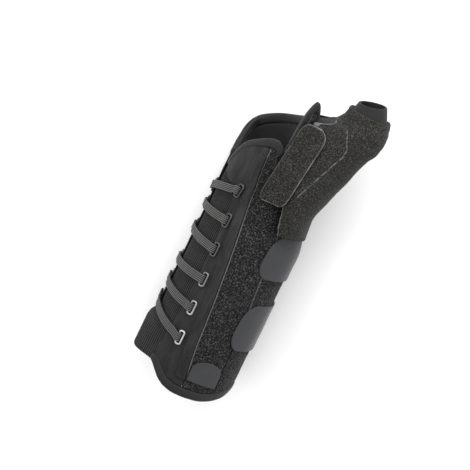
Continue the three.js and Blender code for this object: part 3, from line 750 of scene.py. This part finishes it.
u, v, half, edge = cloth_grid(STAY_FLAP_WIDTH, 18.0, (30, 40), FLAP_WALL / 2)
flap_low, flap_high = (share * LENGTH for share in STAY_FLAP_SPAN)
flap_top = flap_high - STAY_FLAP_WIDTH / 3 * (1 - np.sqrt(1 - 0.985 * (2 * u - 1) ** 2))
flap_y = flap_low + (flap_top - flap_low) * v
flap_angle = STAY_FLAP_ANGLE + math.degrees(STAY_FLAP_WIDTH / ARM_WIDTH) * (2 * u - 1)
flap_level = TRIM_IN + FLAP_WALL / 2
stay_flap = pillow("stay_flap_cloth", rested_point(flap_angle, flap_y, flap_level + half),
                   rested_point(flap_angle, flap_y, flap_level - half),
                   np.stack([flap_angle * DEGREE, flap_y], -1), edge)
print("flap:", [round(s, 4) for s in SHEET_SIZES["stay_flap_cloth"]])

# %% [markdown]
# The web strap lies over the join of arm and thumb. A Shrinkwrap modifier could drape it, but the
# sleeve's own surface is known: its height is read by rays from above, so the strap lies over whatever
# is under it with one clearance.


# %% Web strap
WEB_STRAP_START = 0.622         # share of the length
WEB_STRAP_X, WEB_STRAP_DRIFT = 0.430, 0.078     # x of its start, and what it gains, in thumb reaches
WEB_STRAP_CORNER = 9.0          # radius of its corner towards the thumb tip, on the outer side
RAY_TOP, RAY_FOOT = 82, 25      # millimetres over the table


def top_height(x, y):
    """Height at which a ray from above meets the sleeve or the arm's cover."""
    heights = np.linspace(RAY_TOP, RAY_FOOT, 4 * (RAY_TOP - RAY_FOOT) + 1)
    p = np.stack(np.broadcast_arrays(x[..., None], y[..., None], heights), -1)
    first, share = first_rise(-shell_field(p, *SHELL_SKINS))
    return heights[first - 1] + share * (heights[1] - heights[0])


u, v, half, edge = cloth_grid(WEB_STRAP_WIDTH, WEB_STRAP_LENGTH, (40, 110), WEB_STRAP_WALL / 2)
end_factor = 1 - 0.35 * np.abs(2 * v - 1) ** 14
corner_t = np.clip((v - 1) * WEB_STRAP_LENGTH / WEB_STRAP_CORNER + 1, 0, 0.97)
drawn_in = WEB_STRAP_CORNER / WEB_STRAP_WIDTH * (1 - np.sqrt(1 - corner_t**2))
end_factor = np.minimum(end_factor, 1 - np.where(u > 0.5, 2 * drawn_in, 0.35 * drawn_in))
strap_x = THUMB_REACH * (WEB_STRAP_X + WEB_STRAP_DRIFT * v) + WEB_STRAP_WIDTH * (u - 0.5) * end_factor
strap_y = WEB_STRAP_START * LENGTH + WEB_STRAP_LENGTH * v
strap_z = top_height(strap_x, strap_y)
for _ in range(3):
    padded = np.pad(strap_z, 1, mode="edge")
    strap_z = (padded[:-2, 1:-1] + padded[2:, 1:-1] + padded[1:-1, :-2] + padded[1:-1, 2:]
               + 4 * strap_z) / 8
nap = 0.07 * waves(strap_x, strap_y, 2.1, 51, 14) + 0.15 * waves(strap_x, strap_y, 25, 52)
middle = strap_z + 0.9 + WEB_STRAP_WALL / 2
outer = np.stack([strap_x, strap_y, middle + half + nap * half], -1)
inner = np.stack([strap_x, strap_y, middle - half], -1)
web_strap = pillow("web_strap_felt", outer, inner, np.stack([strap_x, strap_y], -1), edge)
print("web strap height:", strap_z.min().round(1), "to", strap_z.max().round(1))

# %% [markdown]
# A binding is a soft tape, folded round the padding's edge and sewn. Its section is a puffy rounded
# rectangle in the plane of inset and level, and it follows the outline in even steps.


# %% Bindings
TAPE_STEP = 1.2                 # millimetres between its sections
TAPE_INSET, TAPE_LEVEL = 2.75, 2.0
TAPE_HALF_WIDTH, TAPE_HALF_HEIGHT = 3.25, 2.35
SQUARENESS = 0.62               # 1 makes the section an ellipse and 0 a rectangle
TAPE_END = 3.5                  # millimetres over which the tape closes at both ends


def binding(name, start, end, at_edge, inward):
    """Tape along an edge curve, which is walked in even steps because it is steep in places: superellipse
    sections of 28 points, whose axes are powers of cosine and sine, drawn in at both ends."""
    fine = np.linspace(start, end, 4000)
    run = np.concatenate([[0], np.cumsum(np.hypot(np.diff(fine) * DEGREE, np.diff(at_edge(fine))))])
    count = int(run[-1] / TAPE_STEP)
    angle = np.interp(np.linspace(0, run[-1], count), run, fine)
    y = at_edge(angle)
    normal_a, normal_y = -np.gradient(y, angle * DEGREE) * inward, np.full(count, float(inward))
    size = np.hypot(normal_a, normal_y)
    normal_a, normal_y = normal_a / size / DEGREE, normal_y / size
    t = np.arange(28) / 28 * 2 * np.pi
    inset = TAPE_INSET + TAPE_HALF_WIDTH * np.sign(np.cos(t)) * np.abs(np.cos(t)) ** SQUARENESS
    level = TAPE_LEVEL + TAPE_HALF_HEIGHT * np.sign(np.sin(t)) * np.abs(np.sin(t)) ** SQUARENESS
    along = np.arange(count)[:, None] * TAPE_STEP
    near = np.minimum(along, along[::-1])
    fall = np.sqrt(np.maximum(1 - (1 - np.clip(near / TAPE_END, 0.02, 1)) ** 2, 0.01))
    inset = 1.0 + (inset - 1.0) * fall
    level = TAPE_LEVEL + (level - TAPE_LEVEL) * fall * (1 + 0.05 * waves(along, 0.0, 15, 61))
    grid = rested_point(angle[:, None] + normal_a[:, None] * inset, y[:, None] + normal_y[:, None] * inset,
                        level)
    return tube(name, grid, flow=np.stack(np.broadcast_arrays(along, t * 2.6), -1).reshape(-1, 2))


def lobe_edge(angle):
    """The dorsal lobe's edge, run on past the notch to end under the web strap."""
    past_notch = np.maximum(angle + 12.0, 0)
    return LENGTH * high_share(angle - past_notch) - 0.35 * past_notch


bottom_binding = binding("bottom_binding_tape", -44.0, ULNAR_FLAP, low_edge(0), 1)
dorsal_binding = binding("dorsal_binding_tape", -92.0, -8.5, lobe_edge, -1)
palmar_binding = binding("palmar_binding_tape", -11.5, ULNAR_FLAP, high_edge(0), -1)
print("binding points:", [len(o.data.vertices) for o in (bottom_binding, dorsal_binding, palmar_binding)])

# %% [markdown]
# Rings are bent steel wire on a rounded rectangle, flat on the suede. A curve with a bevel would do too,
# but a grid round the path keeps the wire round in the tight corners.


# %% Rings
def cover_frame(angle, y, side):
    """Point on the cover, and unit vectors along the arm, round it towards the gap and out of it."""
    here = arm_point(angle, y, COVER_OUT)
    along = arm_point(angle, y + 1, COVER_OUT) - arm_point(angle, y - 1, COVER_OUT)
    along /= np.linalg.norm(along)
    round_ = arm_point(angle + side, y, COVER_OUT) - arm_point(angle - side, y, COVER_OUT)
    round_ -= along * (round_ @ along)
    round_ /= np.linalg.norm(round_)
    return here, along, round_, np.cross(round_, along) * side


RING_HEIGHT = CLEARANCE + RING_WIRE / 2
BAR_ROUND = (RING_WIDTH - RING_WIRE) / 2


def ring(name, angle, y, side):
    """Rounded rectangle of round wire, 16 points round the wire."""
    here, along, round_, out = cover_frame(angle, y, side)
    bend = RING_WIRE * 0.85
    turn = np.radians(np.concatenate([np.arange(0, 91, 11.25) + start for start in (0, 90, 180, 270)]))
    corner = np.repeat([[1, 1], [-1, 1], [-1, -1], [1, -1]], 9, axis=0)
    half_long = (RING_LENGTH - RING_WIRE) / 2
    centre_r = corner[:, 0] * (BAR_ROUND - bend) + bend * np.cos(turn)
    centre_a = corner[:, 1] * (half_long - bend) + bend * np.sin(turn)
    b = np.arange(16) / 16 * 2 * np.pi
    wide, high = RING_WIRE / 2 * np.cos(b), RING_WIRE / 2 * np.sin(b)
    r = centre_r[:, None] + wide * np.cos(turn)[:, None]
    a = centre_a[:, None] + wide * np.sin(turn)[:, None]
    grid = here + r[..., None] * round_ + a[..., None] * along + (RING_HEIGHT + high)[:, None] * out
    return tube(name, grid, loop=True)


rings = []
for k, (dorsal_at, ulnar_at, dorsal_angle) in enumerate(LACE_ROWS, 1):
    rings.append(ring(f"dorsal_ring_wire_{k}", dorsal_angle, dorsal_at * LENGTH, -1))
    rings.append(ring(f"ulnar_ring_wire_{k}", ULNAR_RING_ANGLE, ulnar_at * LENGTH, 1))
print(len(rings), "rings")

# %% [markdown]
# Each elastic lace turns round the bar of a ring on either side of the gap. Its path is a smooth curve
# through points on the bars and over the gusset, and its section has five ribs on each face, which are
# the rubber cords under the braid.


# %% Laces
LACE_SAG = 1.4                  # how far a lace sinks into the knit half way
LACE_CORE, LACE_RIB = 0.36, 0.2     # half its thickness between the ribs, and what a rib adds


def lace_end(angle, y, side):
    """The lace's points round a ring's bar, from under it, with the way out of the cloth at each."""
    here, along, round_, out = cover_frame(angle, y, side)
    radius = RING_WIRE / 2 + CLEARANCE + LACE_THICKNESS / 2
    points = [here + round_ * (BAR_ROUND - radius) + out * CLEARANCE * 2]
    outs = [-round_]
    for turn in np.radians([180, 157, 135, 112, 90, 65]):
        outs.append(round_ * np.cos(turn) + out * np.sin(turn))
        points.append(here + round_ * BAR_ROUND + out * RING_HEIGHT + radius * outs[-1])
    return points, outs, [along] * len(points)


def resample(points, step):
    """Even steps along a Catmull-Rom curve through the rows of an array, and the run at each."""
    p = np.concatenate([2 * points[:1] - points[1:2], points, 2 * points[-1:] - points[-2:-1]])
    t = np.linspace(0, 1, 12, endpoint=False)[:, None, None]
    a, b, c, d = p[:-3], p[1:-2], p[2:-1], p[3:]
    curve = 0.5 * (2 * b + (c - a) * t + (2 * a - 5 * b + 4 * c - d) * t**2
                   + (3 * b - a - 3 * c + d) * t**3)
    curve = np.concatenate([curve.transpose(1, 0, 2).reshape(-1, p.shape[1]), points[-1:]])
    run = np.concatenate([[0], np.cumsum(np.linalg.norm(np.diff(curve[:, :3], axis=0), axis=1))])
    even = np.linspace(0, run[-1], int(run[-1] / step) + 1)
    return np.stack([np.interp(even, run, column) for column in curve.T], -1), even


def lace(name, row):
    """Elastic band: 5 ribs on each face, with the width along the arm's own direction."""
    y_dorsal, y_ulnar = row[0] * LENGTH, row[1] * LENGTH
    points, outs, alongs = lace_end(row[2], y_dorsal, -1)
    lie = COVER_OUT + CLEARANCE * 2 + LACE_THICKNESS / 2
    for share in (0.12, 0.2, 0.32, 0.45, 0.58, 0.7, 0.8, 0.88):
        angle = row[2] + (ULNAR_RING_ANGLE - row[2]) * share
        y = y_dorsal + (y_ulnar - y_dorsal) * share
        _, along, _, out = cover_frame(angle, y, -1)
        points.append(arm_point(angle, y, lie - LACE_SAG * math.sin(math.pi * share) ** 2))
        outs.append(out)
        alongs.append(along)
    last = lace_end(ULNAR_RING_ANGLE, y_ulnar, 1)
    points, outs, alongs = (list(a) + list(b)[::-1] for a, b in zip((points, outs, alongs), last))
    path, run = resample(np.concatenate([points, outs, alongs], 1), 0.5)
    centre, out, along = path[:, None, :3], path[:, None, 3:6], path[:, None, 6:]
    out = out / np.linalg.norm(out, axis=-1, keepdims=True)
    along = along / np.linalg.norm(along, axis=-1, keepdims=True)
    across = np.linspace(-1, 1, 41)
    rib = LACE_RIB * np.abs(np.sin(2.5 * np.pi * (across + 1))) * np.clip((1 - np.abs(across)) * 14, 0, 1)
    rib = LACE_CORE + rib
    wide = np.concatenate([across, across[::-1]])[None, :, None] * LACE_WIDTH / 2
    high = np.concatenate([rib, -rib])[None, :, None]
    grid = centre + along * wide + out * high
    flow = np.stack(np.broadcast_arrays(wide[..., 0], run[:, None]), -1).reshape(-1, 2)
    return tube(name, grid, flow=flow)


laces = [lace(f"lace_band_{k}", row) for k, row in enumerate(LACE_ROWS, 1)]
print(len(laces), "laces, the longest mesh has", max(len(o.data.polygons) for o in laces), "faces")

# %% [markdown]
# The thumb passes through a hole in the padded body and the palmar panel. Blender's Boolean modifier
# cuts it, with a plain tube a little inside the sleeve, and is applied.


# %% Thumb hole
HOLE_INSET = 4.0                # millimetres inside the thumb sleeve's inner face
HOLE_SPAN = 0.54, 1.03          # shares of the length
y_rows, turn = np.meshgrid(np.linspace(*HOLE_SPAN, 60) * LENGTH, np.arange(0, 360, 7.5), indexing="ij")
hole_grid = thumb_point(turn, y_rows, -HOLE_INSET)
cutter = tube("hole_cutter", hole_grid)
for piece in (body, palm):
    cut = piece.modifiers.new("thumb hole", "BOOLEAN")
    cut.operation, cut.solver, cut.object = "DIFFERENCE", "EXACT", cutter
    ready = bpy.data.meshes.new_from_object(piece.evaluated_get(bpy.context.evaluated_depsgraph_get()))
    piece.modifiers.clear()
    piece.data = ready
    print(piece.name, "has", len(ready.polygons), "faces after the cut")
bpy.data.objects.remove(cutter)

# %% [markdown]
# Materials are written as sums: a small class wraps a node's output so that it can be added and
# multiplied. Places on the cloth are in millimetres, so every thread and tuft has its real size.


# %% Material language
class Signal:
    """One output of a shader node. The signs work on it with numbers, triples and other signals."""

    def __init__(self, tree, socket):
        self.tree, self.socket = tree, socket

    def node(self, kind, settings=None, inputs=None, output=0):
        """Any shader node: its type, then its settings, then what goes into its inputs."""
        made = self.tree.nodes.new("ShaderNode" + kind)
        for key, value in (settings or {}).items():
            setattr(made, key, value)
        for key, value in (inputs or {}).items():
            if isinstance(value, Signal):
                self.tree.links.new(value.socket, made.inputs[key])
            else:
                made.inputs[key].default_value = value
        return Signal(self.tree, made.outputs[output])

    def calculate(self, operation, first, second):
        """A Math node on two numbers, and a Vector Math node where either of the two is a triple."""
        kinds = {v.socket.type if isinstance(v, Signal) else type(v) for v in (first, second)}
        if not kinds & {"VECTOR", "RGBA", tuple}:
            return self.node("Math", {"operation": operation}, {0: first, 1: second})
        first, second = (
            (value,) * 3 if isinstance(value, (int, float)) else value for value in (first, second))
        return self.node("VectorMath", {"operation": operation}, {0: first, 1: second})

    def __add__(self, other):
        return self.calculate("ADD", self, other)

    def __radd__(self, other):
        return self.calculate("ADD", other, self)

    def __sub__(self, other):
        return self.calculate("SUBTRACT", self, other)

    def __rsub__(self, other):
        return self.calculate("SUBTRACT", other, self)

    def __mul__(self, other):
        return self.calculate("MULTIPLY", self, other)

    def __rmul__(self, other):
        return self.calculate("MULTIPLY", other, self)

    def part(self, index):
        return self.node("SeparateXYZ", None, {0: self}, index)

    def wave(self, period):
        """Sine from 0 to 1 with a period in this signal's own unit."""
        return self.node("Math", {"operation": "SINE"}, {0: self * (2 * math.pi / period)}) * 0.5 + 0.5

    def noise(self, size, detail=2.0, roughness=0.5):
        """Cloudy noise whose blots are about one size across."""
        return self.node("TexNoise", None, {
            "Vector": self, "Scale": 1 / size, "Detail": detail, "Roughness": roughness})

    def rise(self, low, high):
        """0 below low, 1 above high, with a smooth step between."""
        return self.node("MapRange", {"interpolation_type": "SMOOTHSTEP"},
                         {"Value": self, "From Min": low, "From Max": high})

    def blend(self, dark, light):
        """Colour from dark to light as this goes from 0 to 1."""
        return self.node("Mix", {"data_type": "RGBA"}, {
            0: self,
            6: dark if isinstance(dark, Signal) else (*dark, 1),
            7: light if isinstance(light, Signal) else (*light, 1)}, 2)


print("a signal can", [name for name in vars(Signal) if not name.startswith("_")])

# %% [markdown]
# A material is then one function, its paint, that says what changes over the cloth. Principled covers
# cloth, elastic and steel alike. The bump's height is in millimetres too, so it can't be overdone.


# %% Paint to material
def material(name, paint, **fixed_inputs):
    """Principled material. paint(place, flow, edge) gets places in mm on the part, along the cloth and
    in from its borders, and returns the signals for the shader's inputs and a bump height in mm."""
    made = bpy.data.materials.new(name)
    made.use_nodes = True
    tree = made.node_tree
    tree.nodes.clear()
    shader = tree.nodes.new("ShaderNodeBsdfPrincipled")
    out = tree.nodes.new("ShaderNodeOutputMaterial")
    tree.links.new(shader.outputs[0], out.inputs[0])
    start = Signal(tree, None)
    place = start.node("TexCoord", None, None, 3) * 1000.0
    flow = start.node("UVMap", {"uv_map": "flow"}) * 1000.0
    edge = start.node("UVMap", {"uv_map": "edge"}) * 1000.0
    varying = paint(place, flow, edge)
    height = varying.pop("height", None)
    if height is not None:
        varying["Normal"] = start.node("Bump", None, {"Strength": 1.0, "Distance": MM, "Height": height})
    for key, value in varying.items():
        tree.links.new(value.socket, shader.inputs[key])
    for key, value in fixed_inputs.items():
        shader.inputs[key.replace("_", " ")].default_value = value
    made.diffuse_color = (0.03, 0.03, 0.03, 1)
    return made


print("materials so far:", len(bpy.data.materials))

# %% [markdown]
# Loop fabric is near black with light specks about a millimetre across, where loops catch the light.
# The felt of the thumb shell is finer and a little warmer. Cut edges show a paler core.


# %% Fabrics
# pale core of cut edges, and also the colour of the painted highlight along the thumb shell's wrap step
PALE_CORE_AND_HIGHLIGHT = (0.20, 0.20, 0.195)


def loop_paint(edge_light, fade_from):
    """edge_light is how pale the left border is, from fade_from on along the arm."""
    def paint(place, flow, edge):
        specks = place.noise(0.95, 3.0, 0.65).rise(0.46, 0.72)
        fine = place.noise(0.4, 2.0, 0.6)
        hills = place.noise(9.0, 2.0)
        shade = specks * (0.45 + 0.9 * fine) * (0.55 + 0.9 * hills)
        colour = shade.blend((0.0038, 0.0038, 0.0040), (0.072, 0.072, 0.074))
        left = edge.part(0) + place.noise(1.0) * 0.7
        core = (1 - left.rise(0.75, 1.5)) * place.part(1).rise(fade_from, fade_from + 8) * edge_light
        colour = core.blend(colour, (0.20, 0.20, 0.20))
        height = 0.45 * place.noise(1.15, 3.0, 0.65) + 0.16 * fine
        return {"Base Color": colour, "Roughness": 0.85 + 0.15 * fine, "height": height}
    return paint


def felt_paint(edge_light, left_light, wrap_highlight=0.0, left_from=0.5):
    """Lights of the borders, of the left one and of the painted highlight along the wrap's step, and the
    left one's width.
    """
    def paint(place, flow, edge):
        specks = place.noise(0.85, 3.0, 0.7).rise(0.42, 0.72)
        hills = place.noise(11.0, 2.0)
        shade = specks * (0.5 + 0.9 * hills)
        colour = shade.blend((0.0064, 0.0063, 0.0059), (0.062, 0.0605, 0.057))
        border = edge.part(1) + place.noise(1.0) * 0.7
        left = edge.part(0) + place.noise(1.2) * 0.7
        left_core = (1 - left.rise(left_from, left_from + 0.8)) * left_light
        core = (1 - border.rise(0.5, 1.3)) * edge_light + left_core
        core = core * (0.4 + 0.8 * place.noise(6.0).rise(0.35, 0.65))
        colour = core.blend(colour, PALE_CORE_AND_HIGHLIGHT)
        # painted highlight: a pale line along the wrap's raised step, standing in for the light the step
        # catches
        if wrap_highlight:
            wrap = place.node("UVMap", {"uv_map": "mark"}).part(0) * 1000.0
            wrap_highlight_mask = (wrap * wrap).rise(0.02, 0.25)
            wrap_highlight_mask = (1 - wrap_highlight_mask) * place.noise(2.5, 3.0).rise(0.35, 0.6) * wrap_highlight
            colour = wrap_highlight_mask.blend(colour, PALE_CORE_AND_HIGHLIGHT)
        height = 0.30 * place.noise(0.9, 3.0, 0.7) + 0.10 * place.noise(0.4)
        return {"Base Color": colour, "Roughness": 0.86 + 0.12 * specks, "height": height}
    return paint


print(f"the core in a cut edge reflects {PALE_CORE_AND_HIGHLIGHT[0]:.0%} of the light")

# %% [markdown]
# The smooth parts are brushed suede, dark and cloudy along the nap. Straps, lining and liner are woven:
# two sine waves multiplied give threads that go over and under. The gusset's knit and the elastic have
# ribs along the cloth, so they read the UV map, whose places follow it.


# %% Suede, weaves, knit and steel
STRAP_PITCH = 1.15


def suede_paint(place, flow, edge):
    """Brushed nap in clouds, times a fine grain, with painted shade towards the elbow end."""
    grain = place.noise(0.6, 3.0, 0.65)
    brushed = (place * (1.0, 0.35, 1.0)).noise(7.0, 4.0, 0.65).rise(0.3, 0.7)
    light = 0.7 + 0.3 * place.part(1).rise(-90.0, 20.0)      # painted shade: darker towards the elbow end
    colour = (brushed * (0.25 + 1.2 * grain) * light).blend(
        (0.0033, 0.0033, 0.0035), (0.027, 0.027, 0.028))
    return {"Base Color": colour, "Roughness": 0.62 + 0.3 * brushed, "height": 0.07 * grain + 0.1 * brushed}


def weave_paint(dark, light, pitch, depth):
    """Plain weave: threads both ways, each over and under, from two sines multiplied."""
    def paint(place, flow, edge):
        warp, weft = flow.part(0).wave(pitch), flow.part(1).wave(pitch)
        threads = warp * weft + (1 - warp) * (1 - weft)
        uneven = place.noise(6.0, 3.0)
        specks = place.noise(0.6, 2.0)
        colour = (0.45 * threads + 0.35 * uneven + 0.35 * specks).blend(dark, light)
        return {"Base Color": colour, "Roughness": 0.72 + 0.2 * uneven,
                "height": depth * threads + 0.05 * specks}
    return paint


def knit_paint(place, flow, edge):
    """Ribs at the pitch of the mesh's own, with stitches across them."""
    across, along = flow.part(0), flow.part(1)
    ribs = (across + RIB_PITCH / 4).wave(RIB_PITCH).rise(0.3, 0.9)
    stitches = along.wave(0.8)
    colour = (ribs * (0.5 + 0.3 * stitches) + 0.25 * place.noise(5.0)).blend(
        (0.0025, 0.0025, 0.0027), (0.038, 0.038, 0.040))
    return {"Base Color": colour, "Roughness": 0.75 + 0.2 * stitches,
            "height": 0.08 * stitches + 0.05 * ribs}


def tape_paint(place, flow, edge):
    """Fine threads across the tape and a soft, uneven shine."""
    threads = flow.part(0).wave(0.7)
    soft = place.noise(4.0, 3.0)
    colour = (0.4 * threads + 0.6 * soft).blend((0.0026, 0.0026, 0.0028), (0.0098, 0.0098, 0.0102))
    return {"Base Color": colour, "Roughness": 0.5 + 0.3 * soft, "height": 0.04 * threads + 0.2 * soft}


def elastic_paint(place, flow, edge):
    """Ribs over the rubber cords, with slanting stitches and worn places."""
    across, along = flow.part(0), flow.part(1)
    ribs = (across + 3.0 - 0.3).wave(1.2).rise(0.25, 0.8)
    stitches = (along + across * 0.5).wave(0.9)
    worn = place.noise(3.0, 3.0)
    colour = (ribs * (0.4 + 0.4 * stitches + 0.4 * worn)).blend(
        (0.004, 0.004, 0.0042), (0.110, 0.108, 0.105))
    return {"Base Color": colour, "Roughness": 0.6 + 0.3 * worn, "height": 0.10 * stitches + 0.1 * ribs}


def steel_paint(place, flow, edge):
    """Wire that is brighter at the elbow end and darker towards the hand."""
    scratches = (place * (1.0, 9.0, 1.0)).noise(1.3, 3.0)
    tarnish = place.noise(4.0, 3.0)
    # the wire's colour darkens along the arm from the elbow end towards the hand
    worn = place.part(1).rise(-78.0, -18.0)
    colour = worn.blend((0.42, 0.42, 0.42), (0.075, 0.075, 0.078)) * (0.6 + 0.8 * tarnish)
    return {"Base Color": colour, "Roughness": 0.36 + 0.25 * scratches, "height": 0.01 * scratches}


print("weave threads of the straps are", STRAP_PITCH, "mm apart")

# %% [markdown]
# What is the same all over a material, such as its sheen, is set once on the shader. Dark cloth has a
# weak highlight and a soft bright limb, which the sheen gives.


# %% Materials
def woven(name, dark, light, pitch, depth, **fixed_inputs):
    return material(name, weave_paint(dark, light, pitch, depth), **fixed_inputs)


soft = {"Sheen_Weight": 0.06, "Sheen_Roughness": 0.35, "Specular_IOR_Level": 0.12}
worn = {"Sheen_Weight": 0.05, "Sheen_Roughness": 0.4}
seam_loops = material("loop_seam_side", loop_paint(0.6, -103.0), **soft)
loop_cloth = material("loop_cloth", loop_paint(0.25, -55.0), **soft)
felt = material("felt", felt_paint(0.0, 0.45, 0.4, 1.6), **soft)
strap_felt = material("strap_felt", felt_paint(0.68, 0.22), **soft)
suede = material("suede", suede_paint, Specular_IOR_Level=0.2, **worn)
closure = woven("closure_weave", (0.0066, 0.0068, 0.0077), (0.0385, 0.039, 0.042), STRAP_PITCH, 0.08,
                Sheen_Weight=0.26, Sheen_Roughness=0.3, Specular_IOR_Level=0.3)
lining = woven("lining_knit", (0.004, 0.004, 0.0045), (0.020, 0.020, 0.022), 1.1, 0.12, **soft)
liner_knit = woven("liner_knit", (0.005, 0.005, 0.0055), (0.026, 0.026, 0.027), 0.8, 0.06, **soft)
rib_knit = material("rib_knit", knit_paint, **soft)
tape = material("edge_tape", tape_paint, Specular_IOR_Level=0.25, **worn)
elastic = material("elastic", elastic_paint, Sheen_Weight=0.05, Specular_IOR_Level=0.2)
steel = material("satin_steel", steel_paint, Metallic=1.0)
print("materials:", [m.name for m in bpy.data.materials if m.use_nodes])

# %% [markdown] Every piece gets its finish and is attached to the frame, and the CAD node that it stands for is hidden.
# # A cloth piece's flat size, measured on its outer face, is printed.

# %% Dress the frame
ROOT = list(frame["bodies"])[0]
NARROWEST_SHEET = 0.0101


def dress(piece, look, node, rests_on=None):
    piece.data.materials.clear()
    piece.data.materials.append(look)
    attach(piece, ROOT)
    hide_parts(node)
    if rests_on:
        width, length, area = SHEET_SIZES[piece.name]
        print(f"{piece.name}: measures {width * 1000:.1f} x {length * 1000:.1f} mm, {area * 1e4:.1f} cm2")
        width = max(width, NARROWEST_SHEET)


dress(body, lining, "padded_body")
for piece, look, slot, node, under in (
    (gusset, rib_knit, "knit", "lace_gusset", body),
    (dorsal, suede, "suede", "dorsal_lace_panel", body),
    (loops, seam_loops, "loop", "loop_panel", body),
    (palm, loop_cloth, "loop", "palmar_panel", body),
    (ulnar, suede, "suede", "ulnar_lace_panel", body),
    (stay_pocket, suede, "suede", "stay_pocket", dorsal),
    (upper_strap, closure, "closure", "closure_strap_upper", palm),
    (lower_strap, closure, "closure", "closure_strap_lower", palm),
    (stay_flap, closure, "closure", "stay_flap", loops),
    (thumb_shell, felt, "loop", "thumb_shell", palm),
    (thumb_liner, liner_knit, "liner", "thumb_liner", thumb_shell),
    (web_strap, strap_felt, "loop", "web_strap", thumb_shell),
):
    dress(piece, look, node, [under.name])
for piece, node in ((bottom_binding, "bottom_binding"), (dorsal_binding, "dorsal_binding"),
                    (palmar_binding, "palmar_binding")):
    dress(piece, tape, node)
for k in range(6):
    dress(rings[2 * k], steel, f"dorsal_ring_{k + 1}")
    dress(rings[2 * k + 1], steel, f"ulnar_ring_{k + 1}")
    dress(laces[k], elastic, f"lace_{k + 1}")

# %% [markdown]
# The photograph looks down on the splint from 13 degrees off the vertical, from far away, with the
# elbow end at the lower left. Soft light comes from above on both sides over a plain pale floor.

# %% Camera, floor and light
TILT = math.radians(13)
SPIN_RIGHT, SPIN_UP = 0.899, 0.438
arm_axis = Vector((0, math.cos(TILT), -math.sin(TILT)))
right = SPIN_RIGHT * Vector((1, 0, 0)) + SPIN_UP * arm_axis
up = -SPIN_UP * Vector((1, 0, 0)) + SPIN_RIGHT * arm_axis
back = Vector((0, math.sin(TILT), math.cos(TILT)))
target = Vector((-0.0165, -0.0088, 0.034))
DISTANCE, FIELD = 2.5, 0.315


def place_in_scene(name, data):
    obj = bpy.data.objects.new(name, data)
    bpy.context.scene.collection.objects.link(obj)
    return obj


camera_data = bpy.data.cameras.new("camera")
camera_data.sensor_width = 36
camera_data.lens = 36 * DISTANCE / FIELD
camera = place_in_scene("camera", camera_data)
camera.matrix_world = Matrix.Translation(target + back * DISTANCE) @ Matrix(
    (right, up, back)).transposed().to_4x4()
bpy.context.scene.camera = camera


def softbox(name, direction, size, power):
    """Square area light a metre and a half from the splint, facing it."""
    data = bpy.data.lights.new(name, "AREA")
    data.energy, data.size = power, size
    light = place_in_scene(name, data)
    way = direction.normalized()
    light.location = target + way * 1.5
    light.rotation_euler = way.to_track_quat("Z", "Y").to_euler()


softbox("key", right * 0.5 + up * 1.1 + back * 1.0, 0.8, 21)
softbox("fill", right * -1.0 + up * 0.5 + back * 1.2, 1.0, 12)
softbox("rim", right * 1.3 + up * -0.5 + back * 0.55, 0.8, 11)

floor_mesh = bpy.data.meshes.new("floor")
floor_mesh.from_pydata([(-3, -3, 0), (3, -3, 0), (3, 3, 0), (-3, 3, 0)], [], [(0, 1, 2, 3)])
floor = place_in_scene("floor", floor_mesh)


def floor_paint(place, flow, edge):
    return {"Base Color": place.noise(60.0, 2.0).blend((0.80, 0.80, 0.80), (0.84, 0.84, 0.84))}


floor_mesh.materials.append(material("pale_floor", floor_paint, Roughness=0.9))
world = bpy.data.worlds.new("studio")
world.use_nodes = True
sky = world.node_tree.nodes["Background"].inputs
sky["Color"].default_value = (1, 1, 1, 1)
sky["Strength"].default_value = 0.95
bpy.context.scene.world = world
bpy.context.scene.view_settings.view_transform = "Standard"
print("camera", DISTANCE, "m away, field", FIELD, "m")
